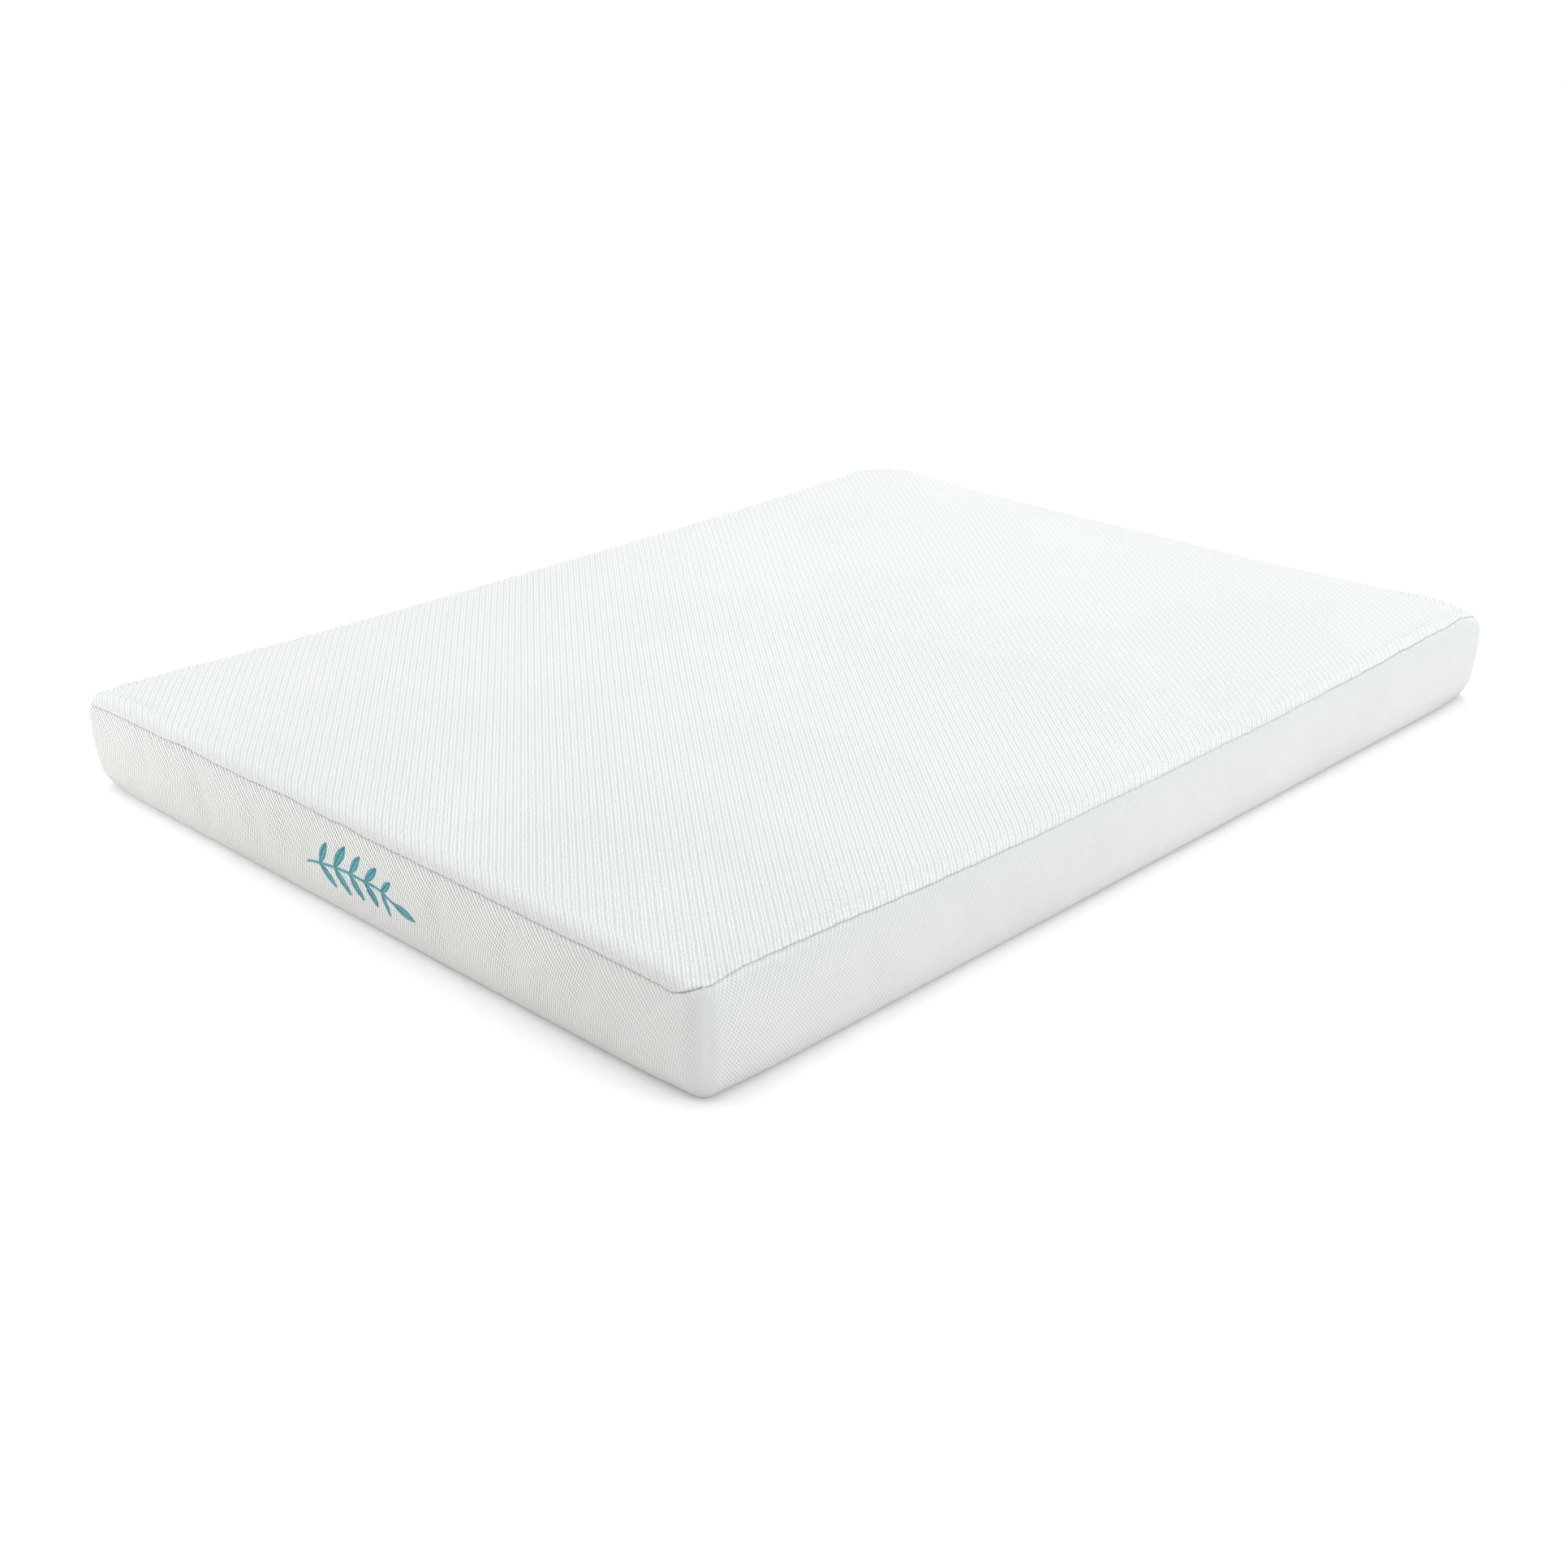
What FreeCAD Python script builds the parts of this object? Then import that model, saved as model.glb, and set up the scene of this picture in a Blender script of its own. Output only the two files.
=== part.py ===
"""A memory foam mattress with a zip-off knitted cover, a fire sock and three laminated foams.

Millimetres, +Z up. The origin is on the floor at the middle of the plan. The length runs along Y,
with the embroidered foot end at -Y, and the zip is on the -X side and the +Y head end.
Depths are measured inwards from the cover's outer surface, square to it.
"""

import FreeCAD
import Part

import math
import os
from FreeCAD import Vector

# Overall size
LENGTH = 2030.0
WIDTH = 1530.0
HEIGHT = 180.0

# Outline: upright corners, sides that bulge at mid-height, rolled edges
CORNER_RADIUS = 38.0
SIDE_BULGE = 7.0
TOP_EDGE_RADIUS = 17.0
BOTTOM_EDGE_RADIUS = 17.0

# Cover
COVER_THICKNESS = 3.5
TOP_PANEL_DROP = 15.0
BOTTOM_SEAM_HEIGHT = 4.0

# Seam allowances, folded flat against the inside of the cover
ALLOWANCE_THICKNESS = 1.8
ALLOWANCE_WIDTH = 9.0
LAYER_GAP = 0.1

# Core: the space that the cover leaves for seams and slider, the sock, and the foams
SEAM_SPACE = 2.7
SOCK_THICKNESS = 1.0
SOCK_GAP = 0.3
MEMORY_FOAM_THICKNESS = 40.0
TRANSITION_FOAM_THICKNESS = 25.0

# Zip
ZIP_HEIGHT = 36.0
ZIP_OPENING = 18.0
ZIP_FOOT_DISTANCE = 130.0
ZIP_HEAD_DISTANCE = 130.0
TAPE_WIDTH = 15.0
TAPE_THICKNESS = 0.8
COIL_WIDTH = 2.4
COIL_THICKNESS = 2.0
STOP_LENGTH = 4.0
STOP_PROUD = 0.4

# Slider
RUNNING_CLEARANCE = 0.35
SLIDER_LENGTH = 14.0
SLIDER_WALL = 1.1
SLIDER_BACK_THICKNESS = 1.0
SLIDER_CORNER = 0.8
POST_WIDTH = 1.0
POST_LENGTH = 3.0
PARKING_GAP = 0.5

# Pull tab and the bail that holds it
BAIL_WIDTH = 1.6
BAIL_WALL = 1.2
BAIL_WINDOW = 5.0
PIN_DIAMETER = 1.2
PIN_HEIGHT = 1.6
TAB_WIDTH = 7.0
TAB_LENGTH = 27.0
TAB_THICKNESS = 1.2
TAB_ARM_WIDTH = 1.3
TAB_HOLE_DIAMETER = 3.0

# Embroidered sprig on the foot end
SPRIG_X = 17.0
SPRIG_ABOVE_MIDDLE = 1.5
SPRIG_LENGTH = 240.0
STEM_WIDTH = 5.0
STEM_RISE = 14.0
LEAF_PAIRS = 5
LEAF_LENGTH = 52.0
LEAF_WIDTH = 17.0
LEAF_ANGLE = 52.0
LEAF_SHRINK = 0.07
STITCH_THICKNESS = 0.8
BACKING_THICKNESS = 0.5
BACKING_MARGIN = 12.0

# Care label on the head end
LABEL_X = 420.0
LABEL_DROP = 25.0
LABEL_WIDTH = 45.0
LABEL_TALL = 60.0
LABEL_THICKNESS = 0.5

# Worked-out depths
TAPE_DEPTH = COVER_THICKNESS + LAYER_GAP
COIL_DEPTH = TAPE_DEPTH - LAYER_GAP / 2 - COIL_THICKNESS
SOCK_DEPTH = COVER_THICKNESS + SEAM_SPACE
FOAM_DEPTH = SOCK_DEPTH + SOCK_THICKNESS + SOCK_GAP
COIL_SPLIT = POST_WIDTH / 2 + RUNNING_CLEARANCE

# Worked-out heights
TOP_SEAM_HEIGHT = HEIGHT - TOP_PANEL_DROP
SPRIG_HEIGHT = TOP_SEAM_HEIGHT / 2 + SPRIG_ABOVE_MIDDLE
LABEL_TOP = TOP_SEAM_HEIGHT - LABEL_DROP
ZIP_LOW = ZIP_HEIGHT - ZIP_OPENING / 2
ZIP_HIGH = ZIP_HEIGHT + ZIP_OPENING / 2
SIDE_RADIUS = ((HEIGHT / 2) ** 2 + SIDE_BULGE**2) / (2 * SIDE_BULGE)
ZIP_TILT = math.asin((HEIGHT / 2 - ZIP_HEIGHT) / SIDE_RADIUS)

# How far cutting blocks reach past the mattress
REACH = 60.0
UP = Vector(0, 0, 1)
OUTWARDS = Vector(1, 0, 0)


def block(low, high):
    """A box between two corners."""
    size = [h - l for l, h in zip(low, high)]
    return Part.makeBox(*size, Vector(*low))


def slab(bottom, top):
    """Everything between two heights."""
    x = WIDTH / 2 + REACH
    y = LENGTH / 2 + REACH
    return block((-x, -y, bottom), (x, y, top))


def side_profile(depth):
    """The upright half-section of a corner, from its axis out to the bulging side."""
    radius = SIDE_RADIUS - depth
    half = HEIGHT / 2 - depth
    widest = CORNER_RADIUS - depth
    end = widest - radius + math.sqrt(radius**2 - half**2)
    low = Vector(end, 0, depth)
    high = Vector(end, 0, HEIGHT - depth)
    axis_low = Vector(0, 0, depth)
    axis_high = Vector(0, 0, HEIGHT - depth)
    side = Part.Arc(low, Vector(widest, 0, HEIGHT / 2), high).toShape()
    edges = [
        Part.makeLine(axis_low, low),
        side,
        Part.makeLine(high, axis_high),
        Part.makeLine(axis_high, axis_low),
    ]
    return Part.Face(Part.Wire(edges))


def outline(depth):
    """The whole mattress moved in by depth all round, as one closed solid."""
    profile = side_profile(depth)
    span_x = WIDTH - 2 * CORNER_RADIUS
    span_y = LENGTH - 2 * CORNER_RADIUS
    middle = block((-span_x / 2, -span_y / 2, depth), (span_x / 2, span_y / 2, HEIGHT - depth))
    pieces = []
    for turn in range(4):
        along, across = (span_y, span_x) if turn % 2 == 0 else (span_x, span_y)
        corner = profile.revolve(Vector(0, 0, 0), UP, 90)
        side = profile.extrude(Vector(0, -along, 0))
        for piece in (corner, side):
            piece.translate(Vector(across / 2, along / 2, 0))
            piece.rotate(Vector(0, 0, 0), UP, 90 * turn)
            pieces.append(piece)
    whole = middle.multiFuse(pieces).removeSplitter()
    whole = round_edges(whole, HEIGHT - depth, TOP_EDGE_RADIUS - depth)
    return round_edges(whole, depth, BOTTOM_EDGE_RADIUS - depth)


def round_edges(solid, height, radius):
    """Rounds the loop of edges at one height."""
    edges = [
        e
        for e in solid.Edges
        if all(abs(v.Z - height) < 0.001 for v in e.Vertexes)
    ]
    return solid.makeFillet(radius, edges)


OUTLINES = {}


def kept_outline(depth):
    """The outline at a depth, built once."""
    key = round(depth, 4)
    if key not in OUTLINES:
        OUTLINES[key] = outline(depth)
    return OUTLINES[key]


def skin(outer_depth, inner_depth):
    """The closed shell between two depths."""
    return kept_outline(outer_depth).cut(kept_outline(inner_depth))


def side_wedge(side):
    """The part of the plan that belongs to one side, split at the corner seams."""
    x = WIDTH / 2 - CORNER_RADIUS
    y = LENGTH / 2 - CORNER_RADIUS
    out = CORNER_RADIUS + REACH
    signs = {
        "foot": ((-1, -1), (1, -1)),
        "right": ((1, -1), (1, 1)),
        "head": ((1, 1), (-1, 1)),
        "left": ((-1, 1), (-1, -1)),
    }[side]
    inner = [Vector(sx * x, sy * y, -REACH) for sx, sy in signs]
    outer = [Vector(sx * (x + out), sy * (y + out), -REACH) for sx, sy in signs]
    face = Part.Face(Part.makePolygon([*inner, outer[1], outer[0], inner[0]]))
    return face.extrude(Vector(0, 0, HEIGHT + 2 * REACH))


def zip_path(trim, bottom, top):
    """The L-shaped run of the zip between two heights, shortened by trim at both ends."""
    x = WIDTH / 2
    y = LENGTH / 2
    inner = CORNER_RADIUS
    start = -y + ZIP_FOOT_DISTANCE + trim
    end = x - ZIP_HEAD_DISTANCE - trim
    left = block((-x - REACH, start, bottom), (-x + inner, y + REACH, top))
    head = block((-x - REACH, y - inner, bottom), (end, y + REACH, top))
    return left.fuse(head).removeSplitter()


def zip_middle(depth):
    """The height of the zip's middle line at a depth, square to the leaning side."""
    return ZIP_HEIGHT + depth * math.sin(ZIP_TILT)


def perimeter(bottom, top):
    """A band round the edge of the plan as wide as the rolled bottom edge, for seams near the floor."""
    x = WIDTH / 2 - BOTTOM_EDGE_RADIUS
    y = LENGTH / 2 - BOTTOM_EDGE_RADIUS
    middle = block((-x, -y, bottom - 1), (x, y, top + 1))
    middle = middle.makeFillet(CORNER_RADIUS - BOTTOM_EDGE_RADIUS, edges_along(middle, UP))
    return slab(bottom, top).cut(middle)


def foams():
    """The three laminated foam layers."""
    core = kept_outline(FOAM_DEPTH)
    top = HEIGHT - FOAM_DEPTH
    memory_low = top - MEMORY_FOAM_THICKNESS
    transition_low = memory_low - TRANSITION_FOAM_THICKNESS
    return {
        "base_foam": core.common(slab(-1, transition_low)),
        "transition_foam": core.common(slab(transition_low, memory_low)),
        "memory_foam": core.common(slab(memory_low, HEIGHT)),
    }


def cover_panels():
    """The top and bottom panels, the four border strips and the two strips below the zip."""
    shell = skin(0, COVER_THICKNESS)
    ring = shell.common(slab(BOTTOM_SEAM_HEIGHT, TOP_SEAM_HEIGHT))
    below = zip_path(0, -1, ZIP_HIGH)
    skirt = ring.common(zip_path(0, -1, ZIP_LOW))
    made = {
        "cover_top_panel": shell.common(slab(TOP_SEAM_HEIGHT, HEIGHT + 1)),
        "cover_bottom_panel": shell.common(slab(-1, BOTTOM_SEAM_HEIGHT)),
        "border_foot": ring.common(side_wedge("foot")),
        "border_right": ring.common(side_wedge("right")),
        "border_left": ring.common(side_wedge("left")).cut(below),
        "border_head": ring.common(side_wedge("head")).cut(below),
        "zip_skirt_left": skirt.common(side_wedge("left")),
        "zip_skirt_head": skirt.common(side_wedge("head")),
    }
    return made


def seams():
    """The overlocked allowances inside the cover."""
    outer = COVER_THICKNESS + LAYER_GAP
    band = skin(outer, outer + ALLOWANCE_THICKNESS)
    low = BOTTOM_SEAM_HEIGHT + LAYER_GAP
    bottom_band = perimeter(low, low + ALLOWANCE_WIDTH)
    top_low = TOP_SEAM_HEIGHT - ALLOWANCE_WIDTH
    made = {
        "top_seam_allowance": band.common(slab(top_low, TOP_SEAM_HEIGHT)),
        "bottom_seam_allowance": band.common(bottom_band),
    }
    plain_low = low + ALLOWANCE_WIDTH + 1
    zip_low = ZIP_HEIGHT + TAPE_WIDTH + 1
    corners = {
        "foot_left": (-1, -1, plain_low),
        "foot_right": (1, -1, plain_low),
        "head_right": (1, 1, plain_low),
        "head_left": (-1, 1, zip_low),
    }
    for name, (sx, sy, bottom) in corners.items():
        post = block((0, -ALLOWANCE_WIDTH / 2, bottom), (REACH, ALLOWANCE_WIDTH / 2, top_low - 1))
        post.rotate(Vector(0, 0, 0), UP, math.degrees(math.atan2(sy, sx)))
        post.translate(Vector(sx * (WIDTH / 2 - CORNER_RADIUS), sy * (LENGTH / 2 - CORNER_RADIUS), 0))
        made["corner_seam_" + name] = band.common(post)
    return made


def zip_strips():
    """The two tapes, the two coils and the stops at both ends."""
    tape = skin(TAPE_DEPTH, TAPE_DEPTH + TAPE_THICKNESS)
    coil = skin(COIL_DEPTH, COIL_DEPTH + COIL_THICKNESS)
    stop = skin(COIL_DEPTH - STOP_PROUD, COIL_DEPTH + COIL_THICKNESS)
    tape_middle = zip_middle(TAPE_DEPTH + TAPE_THICKNESS / 2)
    middle = zip_middle(COIL_DEPTH + COIL_THICKNESS / 2)
    coil_edge = COIL_SPLIT + COIL_WIDTH
    stop_edge = coil_edge + STOP_PROUD
    stops = zip_path(0, middle - stop_edge, middle + stop_edge)
    stops = stops.cut(zip_path(STOP_LENGTH, middle - stop_edge - 1, middle + stop_edge + 1))
    return {
        "zip_tape_upper": tape.common(
            zip_path(0, tape_middle + COIL_SPLIT, tape_middle + TAPE_WIDTH)
        ),
        "zip_tape_lower": tape.common(
            zip_path(0, tape_middle - TAPE_WIDTH, tape_middle - COIL_SPLIT)
        ),
        "zip_coil_upper": coil.common(
            zip_path(STOP_LENGTH, middle + COIL_SPLIT, middle + coil_edge)
        ),
        "zip_coil_lower": coil.common(
            zip_path(STOP_LENGTH, middle - coil_edge, middle - COIL_SPLIT)
        ),
        "zip_stops": stop.common(stops),
    }


def on_zip(shape):
    """Moves a shape from the slider's own axes to the parked slider on the left side.

    The slider's own axes are X outwards, Y along the zip and Z up the side, from the cover's surface.
    """
    x = -WIDTH / 2 + SIDE_RADIUS * (1 - math.cos(ZIP_TILT))
    y = -LENGTH / 2 + ZIP_FOOT_DISTANCE + STOP_LENGTH + PARKING_GAP + SLIDER_LENGTH / 2
    placed = shape.copy()
    placed = placed.mirror(Vector(0, 0, 0), Vector(1, 0, 0))
    placed.rotate(Vector(0, 0, 0), Vector(0, 1, 0), -math.degrees(ZIP_TILT))
    placed.translate(Vector(x, y, ZIP_HEIGHT))
    return placed


def slider_face():
    """How far outwards of the cover's surface the slider's outer face is."""
    return -(COIL_DEPTH - RUNNING_CLEARANCE - SLIDER_WALL)


def zip_slider():
    """The slider: an outer plate with flanges, a back plate behind the tapes, the post and the bail."""
    face = slider_face()
    inside = face - SLIDER_WALL
    tape_outer = -TAPE_DEPTH
    back = tape_outer - TAPE_THICKNESS - RUNNING_CLEARANCE
    channel = COIL_SPLIT + COIL_WIDTH + RUNNING_CLEARANCE
    wide = channel + SLIDER_WALL
    half = SLIDER_LENGTH / 2
    flange_low = tape_outer + RUNNING_CLEARANCE
    body = block((inside, -half, -wide), (face, half, wide))
    body = body.fuse(block((flange_low, -half, channel), (inside, half, wide)))
    body = body.fuse(block((flange_low, -half, -wide), (inside, half, -channel)))
    body = body.fuse(block((back - SLIDER_BACK_THICKNESS, -half, -wide), (back, half, wide)))
    body = body.fuse(
        block(
            (back, half - POST_LENGTH, -POST_WIDTH / 2),
            (inside, half, POST_WIDTH / 2),
        )
    )
    body = body.removeSplitter()
    corners = [
        e
        for e in edges_along(body, OUTWARDS)
        if abs(abs(e.Vertexes[0].Y) - half) < 0.001 and abs(abs(e.Vertexes[0].Z) - wide) < 0.001
    ]
    body = body.makeFillet(SLIDER_CORNER, corners)
    return on_zip(body.fuse(bail(face)).removeSplitter())


def edges_along(solid, direction):
    """The straight edges of a solid that run along one direction."""
    found = []
    for edge in solid.Edges:
        run = edge.Vertexes[-1].Point - edge.Vertexes[0].Point
        if run.Length > 0 and abs(run.dot(direction)) > 0.999 * edge.Length:
            found.append(edge)
    return found


def bail(face):
    """The bridge on the slider that the pull tab hangs from."""
    half = BAIL_WINDOW / 2 + BAIL_WALL
    roof = PIN_HEIGHT + PIN_DIAMETER / 2 + RUNNING_CLEARANCE
    arch = block((face, -half, -BAIL_WIDTH / 2), (face + roof + BAIL_WALL, half, BAIL_WIDTH / 2))
    window = block((face, -BAIL_WINDOW / 2, -BAIL_WIDTH), (face + roof, BAIL_WINDOW / 2, BAIL_WIDTH))
    top_ends = [e for e in edges_along(arch, UP) if e.Vertexes[0].X > face + roof]
    return arch.makeFillet(BAIL_WALL, top_ends).cut(window)


def pull_tab():
    """The pull tab: a pin through the bail, two arms beside it and the tab itself."""
    centre = slider_face() + PIN_HEIGHT
    low = centre - TAB_THICKNESS / 2
    high = centre + TAB_THICKNESS / 2
    arm_in = BAIL_WIDTH / 2 + RUNNING_CLEARANCE
    arm_out = arm_in + TAB_ARM_WIDTH
    behind = PIN_DIAMETER / 2
    plate_start = BAIL_WINDOW / 2 + BAIL_WALL + 2 * RUNNING_CLEARANCE
    pin = Part.makeCylinder(PIN_DIAMETER / 2, 2 * arm_out, Vector(centre, 0, -arm_out), UP)
    tab = block((low, plate_start, -TAB_WIDTH / 2), (high, TAB_LENGTH, TAB_WIDTH / 2))
    tab = tab.makeFillet(TAB_WIDTH / 4, edges_along(tab, OUTWARDS))
    hole = Part.makeCylinder(
        TAB_HOLE_DIAMETER / 2,
        TAB_THICKNESS,
        Vector(low, TAB_LENGTH - TAB_HOLE_DIAMETER * 1.3, 0),
        OUTWARDS,
    )
    tab = tab.cut(hole)
    reach = plate_start + TAB_WIDTH / 4
    for sign in (-1, 1):
        z = sorted((sign * arm_in, sign * arm_out))
        tab = tab.fuse(block((low, -behind, z[0]), (high, reach, z[1])))
    return on_zip(tab.fuse(pin).removeSplitter())


def leaf(x, z, angle, length, width):
    """A pointed leaf from its foot at x, z, in the plane of the foot end."""
    direction = Vector(math.cos(angle), 0, math.sin(angle))
    across = Vector(-math.sin(angle), 0, math.cos(angle))
    foot = Vector(x, 0, z)
    tip = foot + direction * length
    middle = foot + direction * (length / 2)
    edges = [
        Part.Arc(foot, middle + across * (width / 2), tip).toShape(),
        Part.Arc(tip, middle - across * (width / 2), foot).toShape(),
    ]
    return Part.Face(Part.Wire(edges))


def sprig_prism():
    """The sprig's plan on the foot end, as a thick cutter: one arched stem and pairs of leaves."""
    half = SPRIG_LENGTH / 2
    stem_half = half - LEAF_LENGTH / 4
    arch_radius = (stem_half**2 + STEM_RISE**2) / (2 * STEM_RISE)

    def stem_point(x, offset):
        centre = SPRIG_HEIGHT + STEM_RISE / 2 - arch_radius
        radius = arch_radius + offset
        return Vector(x, 0, centre + math.sqrt(radius**2 - x**2))

    edges = [
        Part.Arc(*[stem_point(x, STEM_WIDTH / 2) for x in (-half, 0, stem_half)]).toShape(),
        Part.makeLine(stem_point(stem_half, STEM_WIDTH / 2), stem_point(stem_half, -STEM_WIDTH / 2)),
        Part.Arc(*[stem_point(x, -STEM_WIDTH / 2) for x in (stem_half, 0, -half)]).toShape(),
        Part.makeLine(stem_point(-half, -STEM_WIDTH / 2), stem_point(-half, STEM_WIDTH / 2)),
    ]
    faces = [Part.Face(Part.Wire(edges))]
    step = (half + stem_half) / (LEAF_PAIRS + 1)
    for i in range(LEAF_PAIRS):
        x = -half + step * (i + 1)
        foot = stem_point(x, 0)
        lean = math.asin(-x / arch_radius)
        scale = 1 - LEAF_SHRINK * abs(i - 1)
        for sign in (-1, 1):
            angle = lean + sign * math.radians(LEAF_ANGLE)
            faces.append(leaf(foot.x, foot.z, angle, LEAF_LENGTH * scale, LEAF_WIDTH * scale))
    end = stem_point(stem_half - STEM_WIDTH, 0)
    faces.append(leaf(end.x, end.z, math.asin(-stem_half / arch_radius), LEAF_LENGTH, LEAF_WIDTH))
    prisms = [f.extrude(Vector(0, REACH, 0)) for f in faces]
    whole = prisms[0].multiFuse(prisms[1:])
    whole.translate(Vector(SPRIG_X, -LENGTH / 2 - REACH / 2, 0))
    return whole


def trims():
    """The embroidery, its backing and the care label."""
    cutter = sprig_prism()
    box = cutter.BoundBox
    y = -LENGTH / 2
    below_seam = TOP_SEAM_HEIGHT - ALLOWANCE_WIDTH - LAYER_GAP
    backing_area = block(
        (box.XMin - BACKING_MARGIN, y - 1, box.ZMin - BACKING_MARGIN),
        (box.XMax + BACKING_MARGIN, y + CORNER_RADIUS, min(box.ZMax + BACKING_MARGIN, below_seam)),
    )
    label_area = block(
        (LABEL_X - LABEL_WIDTH / 2, LENGTH / 2 - CORNER_RADIUS, LABEL_TOP - LABEL_TALL),
        (LABEL_X + LABEL_WIDTH / 2, LENGTH / 2 + REACH, LABEL_TOP),
    )
    stitches = skin(-STITCH_THICKNESS, -LAYER_GAP / 2)
    label = skin(-LABEL_THICKNESS, -LAYER_GAP / 2)
    behind = COVER_THICKNESS + LAYER_GAP
    backing = skin(behind, behind + BACKING_THICKNESS)
    return {
        "embroidered_sprig": stitches.common(cutter),
        "embroidery_backing": backing.common(backing_area),
        "care_label": label.common(label_area),
    }


def build():
    """Every node by name."""
    nodes = foams()
    nodes["fire_barrier_sock"] = skin(SOCK_DEPTH, SOCK_DEPTH + SOCK_THICKNESS)
    nodes.update(cover_panels())
    nodes.update(seams())
    nodes.update(zip_strips())
    nodes.update(trims())
    nodes["zip_slider"] = zip_slider()
    nodes["zip_pull_tab"] = pull_tab()
    return nodes


def main():
    os.makedirs("parts", exist_ok=True)
    for name, shape in build().items():
        solids = shape.Solids
        if not solids or not all(solid.isValid() for solid in solids):
            raise RuntimeError(name + " is not a valid solid")
        whole = solids[0] if len(solids) == 1 else Part.makeCompound(solids)
        whole.exportStep("parts/" + name + ".step")
        print(f"{name}: {len(solids)} solid, {whole.Volume / 1000:.1f} cm3")


main()
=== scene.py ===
"""The looks of a memory foam mattress: a sewn knitted cover over a fire sock and three foams.

Metres, in the part's own frame: +Z up, the foot end at -Y, the zip on the -X side and the +Y head end.
A place on the cover is a side, a run and a q. The run goes anticlockwise from the side's middle to the
middle of each corner. q is the distance along the fabric: 0 where the side meets the rolled top edge,
positive up and inwards over the top, negative down the side and under the bottom edge.
"""

import math

import bpy
import numpy as np
from mathutils import Matrix, Vector
from mathutils.kdtree import KDTree


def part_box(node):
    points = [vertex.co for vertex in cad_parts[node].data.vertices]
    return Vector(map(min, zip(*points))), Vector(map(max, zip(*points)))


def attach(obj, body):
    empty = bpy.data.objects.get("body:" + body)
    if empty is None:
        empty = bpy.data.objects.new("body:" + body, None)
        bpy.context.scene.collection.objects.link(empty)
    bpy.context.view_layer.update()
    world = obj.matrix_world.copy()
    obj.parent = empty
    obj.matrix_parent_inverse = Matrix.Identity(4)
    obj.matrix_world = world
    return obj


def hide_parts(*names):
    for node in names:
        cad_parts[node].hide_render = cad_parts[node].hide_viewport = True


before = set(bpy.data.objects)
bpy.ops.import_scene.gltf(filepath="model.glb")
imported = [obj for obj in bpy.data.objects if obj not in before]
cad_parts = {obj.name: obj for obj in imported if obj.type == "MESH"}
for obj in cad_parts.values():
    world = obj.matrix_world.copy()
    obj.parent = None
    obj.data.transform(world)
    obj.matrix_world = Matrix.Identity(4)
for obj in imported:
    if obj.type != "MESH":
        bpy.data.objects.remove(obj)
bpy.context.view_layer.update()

# The outline and the side's profile, as the part has them
CORNER_RADIUS = 0.038
SIDE_BULGE = 0.007
EDGE_RADIUS = 0.017
FABRIC = 0.0031
BOTTOM_CLOTH = 0.003
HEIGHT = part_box("cover_top_panel")[1].z
HALF_X = round(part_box("border_right")[1].x, 3)
HALF_Y = -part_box("border_foot")[0].y
CORE_X = HALF_X - CORNER_RADIUS
CORE_Y = HALF_Y - CORNER_RADIUS
SIDE_RADIUS = ((HEIGHT / 2) ** 2 + SIDE_BULGE**2) / (2 * SIDE_BULGE)
ROLL_START = math.asin((HEIGHT / 2 - EDGE_RADIUS) / (SIDE_RADIUS - EDGE_RADIUS))
ROLL_AXIS = CORNER_RADIUS - SIDE_RADIUS + math.sqrt(
    (SIDE_RADIUS - EDGE_RADIUS) ** 2 - (HEIGHT / 2 - EDGE_RADIUS) ** 2
)
ROLL_LENGTH = EDGE_RADIUS * (math.pi / 2 - ROLL_START)
SIDE_LENGTH = 2 * ROLL_START * SIDE_RADIUS
CORE_Q = ROLL_LENGTH + ROLL_AXIS

# The seams and the zip's opening
BOTTOM_SEAM_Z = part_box("border_foot")[0].z
SLOT_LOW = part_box("zip_skirt_left")[1].z
TAPE_LAP = SLOT_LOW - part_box("zip_tape_lower")[0].z
UPPER_LAP_EXTRA = 0.0007
SLOT_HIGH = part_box("zip_tape_upper")[1].z - TAPE_LAP - UPPER_LAP_EXTRA
ZIP_START_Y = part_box("zip_skirt_left")[0].y
ZIP_END_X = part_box("zip_skirt_head")[1].x

# How fine the cover's meshes are: steps along the straights and round each corner
STEPS_X = 300
STEPS_Y = 400
STEPS_CORNER = 16

SIDES = ("foot", "right", "head", "left")
HEADING = {"foot": -math.pi / 2, "right": 0.0, "head": math.pi / 2, "left": math.pi}
STRAIGHT = {"foot": CORE_X, "right": CORE_Y, "head": CORE_X, "left": CORE_Y}
QUARTER = CORNER_RADIUS * math.pi / 4
ZIP_RUN = {
    "head": (-ZIP_END_X, CORE_X + QUARTER),
    "left": (-CORE_Y - QUARTER, -ZIP_START_Y),
}


def smooth(t):
    """0 below 0, 1 above 1, and an even rise between."""
    t = np.clip(t, 0, 1)
    return t * t * (3 - 2 * t)


def bell(t, width):
    """1 at 0, falling off over the width on both sides."""
    return np.exp(-((t / width) ** 2))


def unit(vectors):
    """The vectors of an array's rows, each made 1 long."""
    return vectors / np.linalg.norm(vectors, axis=1, keepdims=True)


def ripple(t, lengths, seed):
    """A wave from about -1 to 1 made of sines of these lengths, alike in each run."""
    phases = np.random.default_rng(seed).uniform(0, 2 * math.pi, len(lengths))
    total = sum(np.sin(2 * math.pi * t / l + p) for l, p in zip(lengths, phases))
    return total / math.sqrt(len(lengths)) / 1.4


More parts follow.
